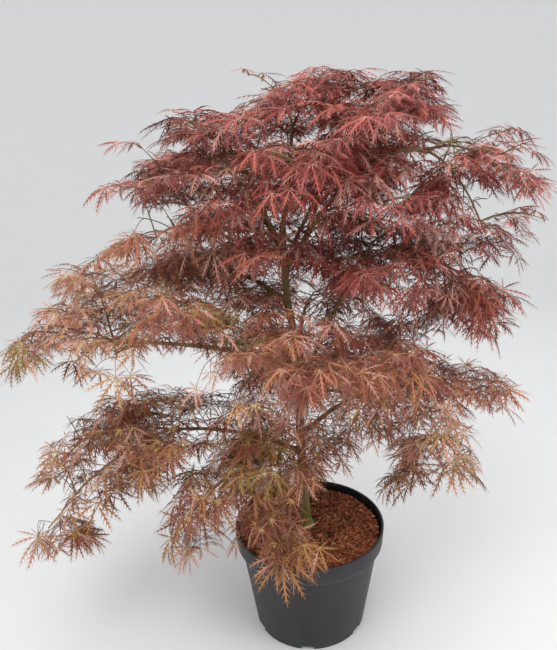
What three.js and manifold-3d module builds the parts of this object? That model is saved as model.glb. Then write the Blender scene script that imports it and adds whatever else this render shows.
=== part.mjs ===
// A potted laceleaf Japanese maple, about 86 cm tall with its nursery pot.
// Millimetres, +Z up. The origin is the middle of the pot's flat underside, -Y is the front.
//
// The trunk stands on the soil and forks near its top. Boughs leave it all round in three storeys.
// Every bough ends at the foot of its foliage masses. A mass is one stem with side twigs in pairs,
// and leaves of five or seven lobes on long stalks, grown by one seeded rule and kept to its own
// space.

import * as THREE from 'three';
import { mergeVertices } from 'three/addons/utils/BufferGeometryUtils.js';
import Module from 'manifold-3d';

const wasm = await Module();
wasm.setup();

// Clearance between neighbouring pieces
const GAP = 0.3;

// Pot
const POT_HEIGHT = 195;
const POT_RIM_RADIUS = 121.5;
const POT_BASE_RADIUS = 91;
const POT_WALL = 2.4;
const RIM_BAND_HEIGHT = 20;
const RIM_BAND_STEP = 3.2;
const RIM_EDGE = 1;
const POT_SIDES = 32;
const BASE_DISC_RADIUS = 50;
const BASE_RECESS_RADIUS = 77;
const BASE_RECESS_DEPTH = 7;
const BASE_DRAFT = 2;
const NOTCH_COUNT = 8;
const NOTCH_LENGTH = 26;
const NOTCH_WIDTH = 26;
const NOTCH_HEIGHT = 6;
const BAND_FOOT = POT_HEIGHT - RIM_BAND_HEIGHT;
const POT_NECK_RADIUS = POT_RIM_RADIUS - RIM_BAND_STEP - RIM_EDGE;
const POT_FLOOR = BASE_RECESS_DEPTH + POT_WALL;

// Soil
const SOIL_TOP = 180;
const SOIL_RINGS = [1, 0.58, 0.24];
const SOIL_HUMPS = 1.8;
const SOIL_EDGE_DROP = 2;
const SOIL_LEVEL_RADIUS = 40;
const SOIL_UNEVEN_RADIUS = 64;
const SOIL_CLEARANCE = 0.45;
const SOIL_WAVES = { x: 0.071, shiftX: 1.3, y: 0.063, shiftY: -0.6, slant: 0.12, sink: 0.4 };

// Trunk
const TRUNK_FOOT_RADIUS = 7.8;
const TRUNK_TIP_RADIUS = 4.0;
const ROOT_FLARE = 5.5;
const ROOT_FLARE_HEIGHT = 22;
const ROOT_FLARE_STEPS = [0, 0.3, 0.65];
const TRUNK_TOP = 660;
const TRUNK_LEAN_X = [-4, -8.5, -12, -9, -25, -30];
const TRUNK_LEAN_Y = [10, 8, 6, 4, 2, 0];
const TRUNK_SIDES = 7;
const TRUNK_STEPS = 12;

// Limbs and stems
const LIMB_SIDES = 5;
const LIMB_STEPS = 4;
const LIMB_TIP_RADIUS = 2.4;
const STEM_SIDES = 3;
const STEM_STEPS = 3;
const STEM_FOOT_RADIUS = 2.1;
const STEM_TIP_RADIUS = 1.5;
const STEM_LEAD = 5;
const STEM_PLACES = {
  1: [[0, 0]],
  2: [[-2.3, 0], [2.3, 0]],
  3: [[-2.7, -1.35], [0, 2.55], [2.7, -1.35]],
};

// Leaves
const LEAF_LENGTH = 80;
const LEAF_LENGTH_VARIES = 0.16;
const LARGE_LEAF = {
  turns: [-112, -76, -38, 0, 38, 76, 112],
  lobes: [0.56, 0.8, 0.95, 1, 0.95, 0.8, 0.56],
};
const SMALL_LEAF = {
  turns: [-84, -42, 0, 42, 84],
  lobes: [0.66, 0.9, 1, 0.9, 0.66],
};
const LOBE_VALLEY = 0.29;
const LOBE_DROOP = 24;
const LOBE_TRIMS = [1, 0.85, 0.7, 0.55, 0.45, 0.36];
const LOBE_HALF_WIDTH = 3;
const LOBE_SPACING = 4.5;
const LEAF_THICKNESS = 2;
const LEAF_NECK = 2.2;
const DROOP_VARIES = 14;
const STALK_WIDTH = 1.2;
const TWIG_WIDTH = 1.9;
const END_STALK = 20;
const END_LEAF_AT = 0.96;
const SIDE_STALK = 34;
const STALK_VARIES = 0.2;
const STALK_RISE = 0.12;
const STALK_RISE_VARIES = 0.3;
const STALK_TESTED_FROM = 0.25;
const STALK_KEPT_TO = 0.8;

// Growth of a mass: where its side twigs leave the stem, as parts of its length, and how far they
// turn from its heading, in degrees. A leaf that finds no room is tried again, turned further,
// shorter and smaller.
const TWIGS = [
  { at: 0.24, turn: 76, kind: LARGE_LEAF },
  { at: 0.24, turn: -76, kind: LARGE_LEAF },
  { at: 0.6, turn: 56, kind: LARGE_LEAF },
  { at: 0.58, turn: -58, kind: LARGE_LEAF },
  { at: 0.9, turn: 36, kind: SMALL_LEAF },
  { at: 0.86, turn: -36, kind: SMALL_LEAF },
];
const TWIG_TAPER = 0.75;
const FORKS = [
  { until: 0.4, turn: 0.1 },
  { until: 0.7, turn: -0.3 },
];
const FORK_AT = 0.5;
const MASS_LEAVES = 7;
const EXTRA_TRIES = 40;
const EXTRA_TURN = 150;
const LEAF_TRIES = 6;
const LEAF_TURN = 20;
const RETRY_TURN = 14;
const RETRY_SHORTER = 0.12;
const RETRY_SMALLER = 0.06;
const MASS_CENTRE = 0.54;
const WOOD_CLEARANCE = 2.5;
const CELL_MARGIN = 1.4;
const CELL_FLATNESS = 1.3;

// Colours and finishes
const POT_FINISH = { color: 0x3e3f43, roughness: 0.55 };
const SOIL_FINISH = { color: 0x5c3625, roughness: 0.95 };
const TRUNK_FINISH = { color: 0x6d5b41, roughness: 0.75 };
const LIMB_FINISH = { color: 0x695e33, roughness: 0.7 };
const LEAF_ROUGHNESS = 0.6;
const LEAF_COLOURS = [0x7e5f46, 0x8a5e48, 0x84503f, 0x7b4238, 0x8b5550];
const LEAF_COLOURS_FROM = 290;
const LEAF_COLOURS_TO = 850;

// Limbs. on is what each grows from and at how far along that it leaves. toward is the heading in
// degrees from +X through +Y. reach, rise and arch are its run, climb and upward bow, foot its radius.
const LIMBS = {
  leader_centre: { on: 'trunk', at: 1, toward: 27, reach: 18, rise: 122, arch: 0, foot: 3.3 },
  leader_left: { on: 'trunk', at: 0.96, toward: 173, reach: 40, rise: 86, arch: -6, foot: 3.1 },
  bough_upper_left: { on: 'trunk', at: 0.985, toward: 183, reach: 87, rise: 15, arch: 4, foot: 2.7 },
  green_limb: { on: 'trunk', at: 0.9, toward: 333, reach: 58, rise: 117, arch: -18, foot: 3.4 },
  bough_upper_right: { on: 'green_limb', at: 0.5, toward: 5, reach: 151, rise: 101, arch: 34, foot: 2.9 },
  bough_top_right: { on: 'leader_centre', at: 0.3, toward: 0, reach: 109, rise: 90, arch: 12, foot: 2.7 },
  bough_back_left: { on: 'trunk', at: 0.93, toward: 124, reach: 126, rise: 96, arch: 10, foot: 3 },
  bough_back_right: { on: 'trunk', at: 0.91, toward: 56, reach: 131, rise: 101, arch: 10, foot: 3 },
  bough_left_long: { on: 'trunk', at: 0.604, toward: 183, reach: 254, rise: 49, arch: 10, foot: 3.9 },
  bough_left_mid: { on: 'trunk', at: 0.8, toward: 145, reach: 110, rise: 28, arch: 10, foot: 3.2 },
  bough_left_front: { on: 'trunk', at: 0.69, toward: 226, reach: 115, rise: 29, arch: 12, foot: 3.1 },
  bough_right_rise: { on: 'trunk', at: 0.54, toward: 351, reach: 81, rise: 182, arch: 8, foot: 3.6 },
  bough_right_front: { on: 'trunk', at: 0.48, toward: 306, reach: 111, rise: 52, arch: 14, foot: 3.1 },
  bough_back_mid: { on: 'trunk', at: 0.66, toward: 81, reach: 110, rise: 31, arch: 12, foot: 3.3 },
  bough_low_right: { on: 'trunk', at: 0.36, toward: 353, reach: 139, rise: 91, arch: 16, foot: 3.8 },
  bough_low_left: { on: 'trunk', at: 0.3, toward: 186, reach: 184, rise: 56, arch: 14, foot: 3.8 },
  bough_low_front: { on: 'trunk', at: 0.34, toward: 246, reach: 82, rise: 19, arch: 14, foot: 3.2 },
  bough_low_back: { on: 'trunk', at: 0.42, toward: 98, reach: 95, rise: 30, arch: 14, foot: 3.3 },
};

// Foliage masses. Each stem leaves the tip of its limb, with a course given like a limb's. spread is
// the length of its side twigs and droop how far its leaves hang, in degrees.
const MASSES = {
  crest_right: { on: 'leader_centre', toward: 351, reach: 53, rise: 47, arch: 14, spread: 56, droop: 16 },
  crest_left: { on: 'leader_centre', toward: 187, reach: 26, rise: 36, arch: 14, spread: 56, droop: 18 },
  left_high: { on: 'leader_left', toward: 176, reach: 68, rise: 54, arch: 16, spread: 60, droop: 18 },
  left_front: { on: 'leader_left', toward: 241, reach: 98, rise: -11, arch: 14, spread: 60, droop: 24 },
  left_upper: { on: 'bough_upper_left', toward: 177, reach: 89, rise: 58, arch: 14, spread: 58, droop: 24 },
  left_under: { on: 'bough_upper_left', toward: 192, reach: 77, rise: -9, arch: 12, spread: 58, droop: 30 },
  front_high: { on: 'green_limb', toward: 245, reach: 99, rise: 19, arch: 16, spread: 60, droop: 24 },
  front_right: { on: 'green_limb', toward: 308, reach: 107, rise: -29, arch: 14, spread: 60, droop: 28 },
  far_right_front: { on: 'bough_upper_right', toward: 329, reach: 79, rise: -90, arch: 16, spread: 60, droop: 34 },
  far_right: { on: 'bough_upper_right', toward: 352, reach: 83, rise: -23, arch: 12, spread: 58, droop: 22 },
  far_right_back: { on: 'bough_upper_right', toward: 56, reach: 131, rise: -12, arch: 12, spread: 60, droop: 26 },
  top_right: { on: 'bough_top_right', toward: 351, reach: 36, rise: 36, arch: 8, spread: 54, droop: 10 },
  right_high: { on: 'bough_top_right', toward: 250, reach: 96, rise: 4, arch: 10, spread: 58, droop: 14 },
  back_left_high: { on: 'bough_back_left', toward: 74, reach: 104, rise: -7, arch: 14, spread: 62, droop: 30 },
  back_left_out: { on: 'bough_back_left', toward: 157, reach: 115, rise: -7, arch: 14, spread: 62, droop: 28 },
  back_right_high: { on: 'bough_back_right', toward: 87, reach: 106, rise: -13, arch: 14, spread: 62, droop: 30 },
  back_right_out: { on: 'bough_back_right', toward: 28, reach: 119, rise: -3, arch: 14, spread: 62, droop: 28 },
  left_tip: { on: 'bough_left_long', toward: 181, reach: 107, rise: -8, arch: 18, spread: 58, droop: 36 },
  left_tip_back: { on: 'bough_left_long', toward: 115, reach: 109, rise: 66, arch: 16, spread: 60, droop: 30 },
  left_tip_front: { on: 'bough_left_long', toward: 287, reach: 69, rise: 6, arch: 14, spread: 58, droop: 30 },
  left_mid: { on: 'bough_left_mid', toward: 197, reach: 86, rise: -1, arch: 16, spread: 62, droop: 26 },
  back_left_mid: { on: 'bough_left_mid', toward: 107, reach: 120, rise: -32, arch: 16, spread: 62, droop: 34 },
  left_front_mid: { on: 'bough_left_front', toward: 195, reach: 77, rise: 66, arch: 16, spread: 62, droop: 32 },
  front_mid: { on: 'bough_left_front', toward: 290, reach: 75, rise: -13, arch: 14, spread: 60, droop: 38 },
  right_inner: { on: 'bough_right_rise', toward: 286, reach: 90, rise: -19, arch: 12, spread: 60, droop: 28 },
  right_back_mid: { on: 'bough_right_rise', toward: 68, reach: 128, rise: -6, arch: 14, spread: 62, droop: 30 },
  right_mid: { on: 'bough_right_rise', toward: 352, reach: 149, rise: -27, arch: 14, spread: 58, droop: 34 },
  front_right_mid: { on: 'bough_right_front', toward: 242, reach: 91, rise: 85, arch: 14, spread: 60, droop: 38 },
  right_front_low: { on: 'bough_right_front', toward: 334, reach: 58, rise: 75, arch: 14, spread: 60, droop: 36 },
  back_mid: { on: 'bough_back_mid', toward: 75, reach: 117, rise: -28, arch: 14, spread: 64, droop: 38 },
  lower_right: { on: 'bough_low_right', toward: 355, reach: 114, rise: -18, arch: 18, spread: 60, droop: 36 },
  lower_right_front: { on: 'bough_low_right', toward: 321, reach: 79, rise: -80, arch: 18, spread: 58, droop: 42 },
  lower_left: { on: 'bough_low_left', toward: 179, reach: 167, rise: -30, arch: 18, spread: 62, droop: 32 },
  lower_left_front: { on: 'bough_low_left', toward: 247, reach: 74, rise: 5, arch: 14, spread: 56, droop: 42 },
  lowest_left: { on: 'bough_low_left', toward: 193, reach: 208, rise: -144, arch: 26, spread: 46, droop: 40 },
  front_hanging: { on: 'bough_low_front', toward: 275, reach: 72, rise: -102, arch: 24, spread: 46, droop: 52 },
  front_left_low: { on: 'bough_low_front', toward: 200, reach: 123, rise: -56, arch: 20, spread: 54, droop: 46 },
  lower_back: { on: 'bough_low_back', toward: 111, reach: 124, rise: -52, arch: 18, spread: 64, droop: 42 },
  lower_back_right: { on: 'bough_low_back', toward: 36, reach: 129, rise: -42, arch: 18, spread: 64, droop: 42 },
};

const DEGREE = Math.PI / 180;
const UP = new THREE.Vector3(0, 0, 1);

// Seeded numbers between 0 and 1, always the same for the same seed.
function seededNumbers(seed) {
  let state = seed;
  return () => {
    state = (state * 1664525 + 1013904223) % 4294967296;
    return state / 4294967296;
  };
}

function vary(random, amount) {
  return (random() * 2 - 1) * amount;
}

function heading(degrees) {
  return new THREE.Vector3(Math.cos(degrees * DEGREE), Math.sin(degrees * DEGREE), 0);
}

// Solids and meshes

function geometryFrom(positions, triangles) {
  const geometry = new THREE.BufferGeometry();
  geometry.setAttribute('position', new THREE.Float32BufferAttribute(positions, 3));
  geometry.setIndex(triangles);
  return geometry;
}

function solidFrom(geometry) {
  const bare = geometry.clone();
  bare.deleteAttribute('normal');
  bare.deleteAttribute('uv');
  const merged = mergeVertices(bare, 1e-4);
  return new wasm.Manifold(new wasm.Mesh({
    numProp: 3,
    vertProperties: new Float32Array(merged.attributes.position.array),
    triVerts: new Uint32Array(merged.index.array),
  }));
}

function geometryOf(solid) {
  const mesh = solid.getMesh();
  return geometryFrom(Array.from(mesh.vertProperties), Array.from(mesh.triVerts));
}

// The largest closed skin of a solid: sealed hollows are filled and loose scraps dropped.
function wholePiece(solid) {
  const skins = solid.decompose();
  return skins.reduce((largest, skin) => (skin.volume() > largest.volume() ? skin : largest));
}

function addMesh(group, name, geometry, finish) {
  const material = new THREE.MeshStandardMaterial({ ...finish, metalness: 0 });
  const mesh = new THREE.Mesh(geometry, material);
  mesh.name = name;
  group.add(mesh);
}

// A tapering limb along points, with a round section of few sides and flat ends. The trunk's foot is
// cut level.
function taperedTube(points, radii, sides, levelFoot = false) {
  const positions = [];
  const triangles = [];
  let side = null;
  points.forEach((point, i) => {
    const before = points[Math.max(i - 1, 0)];
    const after = points[Math.min(i + 1, points.length - 1)];
    const along = i === 0 && levelFoot ? UP.clone() : after.clone().sub(before).normalize();
    if (side === null) {
      const reference = Math.abs(along.z) > 0.9 ? new THREE.Vector3(1, 0, 0) : UP;
      side = new THREE.Vector3().crossVectors(along, reference);
    }
    side.addScaledVector(along, -side.dot(along)).normalize();
    const over = new THREE.Vector3().crossVectors(along, side);
    for (let k = 0; k < sides; k++) {
      const turn = (k / sides) * 2 * Math.PI;
      const corner = point.clone();
      corner.addScaledVector(side, radii[i] * Math.cos(turn));
      corner.addScaledVector(over, radii[i] * Math.sin(turn));
      positions.push(...corner.toArray());
    }
  });
  const last = (points.length - 1) * sides;
  for (let i = 0; i < points.length - 1; i++) {
    for (let k = 0; k < sides; k++) {
      const a = i * sides + k;
      const b = i * sides + ((k + 1) % sides);
      triangles.push(a, b, b + sides, a, b + sides, a + sides);
    }
  }
  for (let k = 1; k < sides - 1; k++) {
    triangles.push(0, k + 1, k, last, last + k, last + k + 1);
  }
  return geometryFrom(positions, triangles);
}

// Paths of the trunk, the limbs and the stems

const trunkCurve = new THREE.CatmullRomCurve3(
  TRUNK_LEAN_X.map((x, i) => {
    const height = SOIL_TOP + (TRUNK_TOP - SOIL_TOP) * (i / (TRUNK_LEAN_X.length - 1));
    return new THREE.Vector3(x, TRUNK_LEAN_Y[i], height);
  }),
  false,
  'catmullrom',
  0.5,
);

function bowedPoint(start, run, t) {
  const point = start.clone().addScaledVector(heading(run.toward), run.reach * t);
  point.z += run.rise * t + run.arch * 4 * t * (1 - t);
  return point;
}

function spacedPoints(pointAt, steps) {
  return Array.from({ length: steps + 1 }, (_, i) => pointAt(i / steps));
}

function trunkRadius(t) {
  const height = (TRUNK_TOP - SOIL_TOP) * t;
  const flare = ROOT_FLARE * Math.max(0, 1 - height / ROOT_FLARE_HEIGHT) ** 2;
  return THREE.MathUtils.lerp(TRUNK_FOOT_RADIUS, TRUNK_TIP_RADIUS, t) + flare;
}

function planTrunk() {
  const flareSteps = ROOT_FLARE_STEPS.map((part) => (part * ROOT_FLARE_HEIGHT) / (TRUNK_TOP - SOIL_TOP));
  const evenSteps = Array.from({ length: TRUNK_STEPS }, (_, i) => (i + 1) / TRUNK_STEPS);
  const steps = [...flareSteps, ...evenSteps];
  return {
    name: 'trunk',
    pointAt: (t) => trunkCurve.getPoint(t),
    points: steps.map((t) => trunkCurve.getPoint(t)),
    radii: steps.map(trunkRadius),
    sides: TRUNK_SIDES,
    levelFoot: true,
  };
}

function planLimb(name, size, limbs) {
  const start = limbs.get(size.on).pointAt(size.at);
  const pointAt = (t) => bowedPoint(start, size, t);
  const points = spacedPoints(pointAt, LIMB_STEPS);
  const radii = points.map((_, i) => THREE.MathUtils.lerp(size.foot, LIMB_TIP_RADIUS, i / LIMB_STEPS));
  return { name, pointAt, points, radii, sides: LIMB_SIDES };
}

function endDirection(points) {
  return points.at(-1).clone().sub(points.at(-2)).normalize();
}

// Where a stem starts on the end face of its limb, so that two or three of them stand side by side.
function stemFoot(limb, along, siblings, index) {
  const aside = new THREE.Vector3().crossVectors(UP, along).normalize();
  const over = new THREE.Vector3().crossVectors(along, aside);
  const [sideways, upward] = STEM_PLACES[siblings][index];
  const foot = limb.points.at(-1).clone().addScaledVector(along, GAP);
  return foot.addScaledVector(aside, sideways).addScaledVector(over, upward);
}

function turnFrom(along, toward) {
  const ahead = heading(toward);
  return Math.atan2(along.x * ahead.y - along.y * ahead.x, along.x * ahead.x + along.y * ahead.y);
}

function planStem(name, mass, index, limbs) {
  const limb = limbs.get(mass.on);
  const along = endDirection(limb.points);
  const siblings = Object.values(MASSES).filter((other) => other.on === mass.on);
  const inOrder = siblings.sort((a, b) => turnFrom(along, a.toward) - turnFrom(along, b.toward));
  const foot = stemFoot(limb, along, siblings.length, inOrder.indexOf(mass));
  const lead = foot.clone().addScaledVector(along, STEM_LEAD);
  const joints = spacedPoints((t) => bowedPoint(lead, mass, t), STEM_STEPS);
  const pointAt = (t) => {
    const step = Math.min(Math.floor(t * STEM_STEPS), STEM_STEPS - 1);
    return joints[step].clone().lerp(joints[step + 1], t * STEM_STEPS - step);
  };
  const points = [foot, ...joints];
  const taper = (STEM_TIP_RADIUS - STEM_FOOT_RADIUS) / STEM_STEPS;
  const radii = [STEM_FOOT_RADIUS, ...joints.map((_, i) => STEM_FOOT_RADIUS + taper * i)];
  const centre = pointAt(MASS_CENTRE);
  return { ...mass, name: `foliage_${name}`, seed: index + 1, points, radii, pointAt, centre };
}

// Tests that keep a mass to its own space

function flattened(point) {
  return new THREE.Vector3(point.x, point.y, point.z * CELL_FLATNESS);
}

// A mass owns the space that is nearer to its own centre than to any other mass's. Heights count
// for more than widths, so that the spaces are wide and low like the tiers of the crown.
function insideCell(point, mass) {
  const here = flattened(point);
  const own = flattened(mass.centre);
  const toOwn = here.distanceToSquared(own);
  return mass.neighbours.every((theirs) => {
    const depth = (here.distanceToSquared(theirs) - toOwn) / (2 * own.distanceTo(theirs));
    return depth > CELL_MARGIN * CELL_FLATNESS;
  });
}

function capsule(start, end, radius) {
  return { start, end, radius, middle: start.clone().lerp(end, 0.5), half: start.distanceTo(end) / 2 };
}

function capsulesAlong(path, clearance) {
  return path.points.slice(1).map((point, i) => {
    return capsule(path.points[i], point, path.radii[i] + clearance);
  });
}

// The shortest distance between two straight segments.
function segmentDistance(one, two) {
  const along = one.end.clone().sub(one.start);
  const other = two.end.clone().sub(two.start);
  const between = one.start.clone().sub(two.start);
  const a = along.dot(along);
  const e = other.dot(other);
  const b = along.dot(other);
  const c = along.dot(between);
  const f = other.dot(between);
  const across = a * e - b * b;
  const first = across > 1e-9 ? THREE.MathUtils.clamp((b * f - c * e) / across, 0, 1) : 0;
  const t = THREE.MathUtils.clamp((b * first + f) / e, 0, 1);
  const s = THREE.MathUtils.clamp((b * t - c) / a, 0, 1);
  return between.addScaledVector(along, s).addScaledVector(other, -t).length();
}

function isClear(path, obstacles) {
  return obstacles.every((obstacle) => {
    const room = path.radius + obstacle.radius;
    const apart = path.middle.distanceTo(obstacle.middle) - path.half - obstacle.half;
    return apart > room || segmentDistance(path, obstacle) > room;
  });
}

// Leaves

// A leaf on its stalk: drooping lobes round the stalk's end. A lobe that would leave the space or
// touch something is shorter, and the leaf is given up where one has no room at all.
function planLeaf(size, mass, { obstacles, ownWood }) {
  const { root, tip, facing, length, width, kind } = size;
  const stalk = capsule(root.clone().lerp(tip, STALK_TESTED_FROM), tip, width);
  if (!insideCell(tip, mass) || !isClear(stalk, obstacles)) {
    return null;
  }
  const ahead = facing.clone().setZ(0).normalize();
  const aside = new THREE.Vector3().crossVectors(UP, ahead);
  const pitch = size.droop * DEGREE;
  const forward = ahead.clone().multiplyScalar(Math.cos(pitch)).addScaledVector(UP, -Math.sin(pitch));
  const normal = new THREE.Vector3().crossVectors(forward, aside);
  const lobe = (turn, reach, bend) => {
    const out = forward.clone().multiplyScalar(Math.cos(turn * DEGREE));
    out.addScaledVector(aside, Math.sin(turn * DEGREE));
    const point = tip.clone().addScaledVector(out, reach * Math.cos(bend * DEGREE));
    return point.addScaledVector(normal, -reach * Math.sin(bend * DEGREE));
  };
  const fits = (point) => {
    const blade = capsule(tip, point, LOBE_HALF_WIDTH);
    return insideCell(point, mass) && isClear(blade, obstacles) && isClear(blade, ownWood);
  };
  const tips = [];
  for (const [i, turn] of kind.turns.entries()) {
    const choices = LOBE_TRIMS.map((trim) => lobe(turn, length * kind.lobes[i] * trim, LOBE_DROOP));
    const point = choices.find(fits);
    if (point === undefined) {
      return null;
    }
    tips.push(point);
  }
  const valleys = kind.turns.slice(1).map((turn, i) => {
    return lobe((turn + kind.turns[i]) / 2, length * LOBE_VALLEY, LOBE_DROOP / 2);
  });
  return valleys.every(fits) ? { root, tip, tips, valleys, forward, aside, normal, width } : null;
}

function leafGeometry(leaf) {
  const { root, tip, tips, valleys, forward, aside, normal } = leaf;
  const half = LEAF_THICKNESS / 2;
  const stalk = leaf.width / 2;
  const behind = tip.clone().addScaledVector(forward, -LEAF_NECK / 2);
  const outline = [behind.clone().addScaledVector(aside, -LEAF_NECK)];
  tips.forEach((point, i) => {
    outline.push(point);
    if (i < valleys.length) {
      outline.push(valleys[i]);
    }
  });
  outline.push(behind.clone().addScaledVector(aside, LEAF_NECK));
  const along = root.clone().sub(tip).normalize();
  const rise = new THREE.Vector3().crossVectors(along, aside).normalize();
  const above = rise.dot(normal) > 0 ? rise : rise.negate();
  const corners = [
    tip.clone().addScaledVector(normal, half),
    tip.clone().addScaledVector(normal, -half),
    root.clone().addScaledVector(aside, -stalk).addScaledVector(above, -stalk / 2),
    root.clone().addScaledVector(aside, stalk).addScaledVector(above, -stalk / 2),
    root.clone().addScaledVector(above, stalk),
  ];
  const [top, under, rootRight, rootLeft, rootTop] = corners.map((_, i) => outline.length + i);
  const last = outline.length - 1;
  const triangles = [];
  for (let i = 0; i < last; i++) {
    triangles.push(top, i, i + 1, under, i + 1, i);
  }
  triangles.push(top, rootTop, rootRight, top, rootRight, 0);
  triangles.push(top, rootLeft, rootTop, top, last, rootLeft);
  triangles.push(under, 0, rootRight, under, rootRight, rootLeft, under, rootLeft, last);
  triangles.push(rootTop, rootLeft, rootRight);
  return geometryFrom([...outline, ...corners].flatMap((point) => point.toArray()), triangles);
}

// Foliage

function growLeaf(mass, place, space) {
  const { root, facing, reach, width, kind } = place;
  for (let attempt = 0; attempt < LEAF_TRIES; attempt++) {
    const turn = vary(space.random, LEAF_TURN + RETRY_TURN * attempt) * DEGREE;
    const out = facing.clone().applyAxisAngle(UP, turn);
    const run = reach * (1 - RETRY_SHORTER * attempt) * (1 + vary(space.random, STALK_VARIES));
    const climb = (STALK_RISE + vary(space.random, STALK_RISE_VARIES)) * run;
    const tip = root.clone().addScaledVector(out, run).addScaledVector(UP, climb);
    const droop = mass.droop + vary(space.random, DROOP_VARIES);
    const scale = (1 + vary(space.random, LEAF_LENGTH_VARIES)) * (1 - RETRY_SMALLER * attempt);
    const size = { root, tip, facing: out, droop, length: LEAF_LENGTH * scale, width, kind };
    const leaf = planLeaf(size, mass, space);
    if (leaf !== null) {
      return leaf;
    }
  }
  return null;
}

// One mass: a leaf at the stem's tip, side twigs in pairs with a leaf at the end of each and one on
// its side, and then single leaves wherever the stem still has room.
function growMass(mass, wood) {
  const space = {
    random: seededNumbers(mass.seed),
    obstacles: [...wood],
    ownWood: capsulesAlong(mass, 0),
  };
  const leaves = [];
  const ahead = heading(mass.toward);
  const turned = (degrees) => ahead.clone().applyAxisAngle(UP, degrees * DEGREE);
  const addLeaf = (place) => {
    const leaf = insideCell(place.root, mass) ? growLeaf(mass, place, space) : null;
    if (leaf !== null) {
      leaves.push(leaf);
      space.obstacles.push(...leaf.tips.map((point) => capsule(leaf.tip, point, LOBE_SPACING)));
      const stalkEnd = leaf.root.clone().lerp(leaf.tip, STALK_KEPT_TO);
      space.ownWood.push(capsule(leaf.root, stalkEnd, leaf.width / 2));
    }
    return leaf;
  };
  const small = { width: STALK_WIDTH, reach: SIDE_STALK, kind: SMALL_LEAF };
  const end = { width: STALK_WIDTH, reach: END_STALK, kind: LARGE_LEAF };
  addLeaf({ ...end, root: mass.pointAt(END_LEAF_AT), facing: ahead });
  for (const { at, turn, kind } of TWIGS) {
    const reach = mass.spread * TWIG_TAPER ** at;
    const facing = turned(turn);
    const twig = addLeaf({ root: mass.pointAt(at), facing, reach, width: TWIG_WIDTH, kind });
    const fork = FORKS.find(({ until }) => at < until);
    if (twig !== null && fork !== undefined) {
      const root = twig.root.clone().lerp(twig.tip, FORK_AT);
      addLeaf({ ...small, root, facing: ahead.clone().lerp(facing, fork.turn).normalize() });
    }
  }
  for (let i = 0; i < EXTRA_TRIES && leaves.length < MASS_LEAVES; i++) {
    const root = mass.pointAt(space.random());
    addLeaf({ ...small, root, facing: turned(vary(space.random, EXTRA_TURN)) });
  }
  return leaves.slice(0, MASS_LEAVES);
}

function massSolid(mass, leaves) {
  const stem = solidFrom(taperedTube(mass.points, mass.radii, STEM_SIDES));
  const joined = leaves.reduce((solid, leaf) => solid.add(solidFrom(leafGeometry(leaf))), stem);
  return wholePiece(joined);
}

// Bronze at the foot of the crown and rose red at its top
function leafColour(height) {
  const part = (height - LEAF_COLOURS_FROM) / (LEAF_COLOURS_TO - LEAF_COLOURS_FROM);
  const step = THREE.MathUtils.clamp(Math.floor(part * LEAF_COLOURS.length), 0, LEAF_COLOURS.length - 1);
  return LEAF_COLOURS[step];
}

// Limbs cut clear of what they grow from

function limbSolid(limb, extra) {
  const radii = limb.radii.map((radius) => radius + extra);
  const points = limb.points.map((point) => point.clone());
  if (extra > 0) {
    points.at(-1).addScaledVector(endDirection(limb.points), extra);
  }
  return solidFrom(taperedTube(points, radii, limb.sides, limb.levelFoot));
}

// Pot and soil

function potInnerRadius(height) {
  return THREE.MathUtils.lerp(POT_BASE_RADIUS, POT_NECK_RADIUS, height / BAND_FOOT) - POT_WALL;
}

function makePot(group) {
  const neck = BAND_FOOT - POT_WALL;
  const profile = [
    [0, 0],
    [BASE_DISC_RADIUS, 0],
    [BASE_DISC_RADIUS + BASE_DRAFT, BASE_RECESS_DEPTH],
    [BASE_RECESS_RADIUS - BASE_DRAFT, BASE_RECESS_DEPTH],
    [BASE_RECESS_RADIUS, 0],
    [POT_BASE_RADIUS, 0],
    [POT_NECK_RADIUS, BAND_FOOT],
    [POT_RIM_RADIUS - RIM_EDGE, BAND_FOOT],
    [POT_RIM_RADIUS, POT_HEIGHT - RIM_EDGE],
    [POT_RIM_RADIUS - RIM_EDGE, POT_HEIGHT],
    [POT_RIM_RADIUS - RIM_EDGE - POT_WALL, POT_HEIGHT],
    [potInnerRadius(BAND_FOOT) + RIM_BAND_STEP, BAND_FOOT],
    [potInnerRadius(neck), neck],
    [potInnerRadius(POT_FLOOR), POT_FLOOR],
    [0, POT_FLOOR],
  ];
  const shell = new THREE.LatheGeometry(profile.map(([x, y]) => new THREE.Vector2(x, y)), POT_SIDES);
  shell.rotateX(Math.PI / 2);
  let pot = solidFrom(shell);
  for (let i = 0; i < NOTCH_COUNT; i++) {
    const notch = new THREE.BoxGeometry(NOTCH_LENGTH, NOTCH_WIDTH, NOTCH_HEIGHT * 2);
    notch.translate((BASE_RECESS_RADIUS + POT_BASE_RADIUS) / 2, 0, 0);
    notch.rotateZ(((i + 0.5) / NOTCH_COUNT) * 2 * Math.PI);
    pot = pot.subtract(solidFrom(notch));
  }
  addMesh(group, 'pot', geometryOf(wholePiece(pot)), POT_FINISH);
}

// Height of the soil: level under the trunk's foot, uneven beyond it, a little lower at the edge.
function soilHeight(x, y) {
  const fromTrunk = Math.hypot(x - TRUNK_LEAN_X[0], y - TRUNK_LEAN_Y[0]);
  const away = THREE.MathUtils.smoothstep(fromTrunk, SOIL_LEVEL_RADIUS, SOIL_UNEVEN_RADIUS);
  const edge = THREE.MathUtils.smoothstep(Math.hypot(x, y), POT_BASE_RADIUS, POT_NECK_RADIUS);
  const { x: waveX, shiftX, y: waveY, shiftY, slant, sink } = SOIL_WAVES;
  const crossed = Math.sin(x * waveX + shiftX) * Math.cos(y * waveY + shiftY);
  const humps = crossed + Math.sin((x - y) * slant) / 2 - sink;
  return SOIL_TOP - GAP + away * SOIL_HUMPS * humps - edge * SOIL_EDGE_DROP;
}

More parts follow.
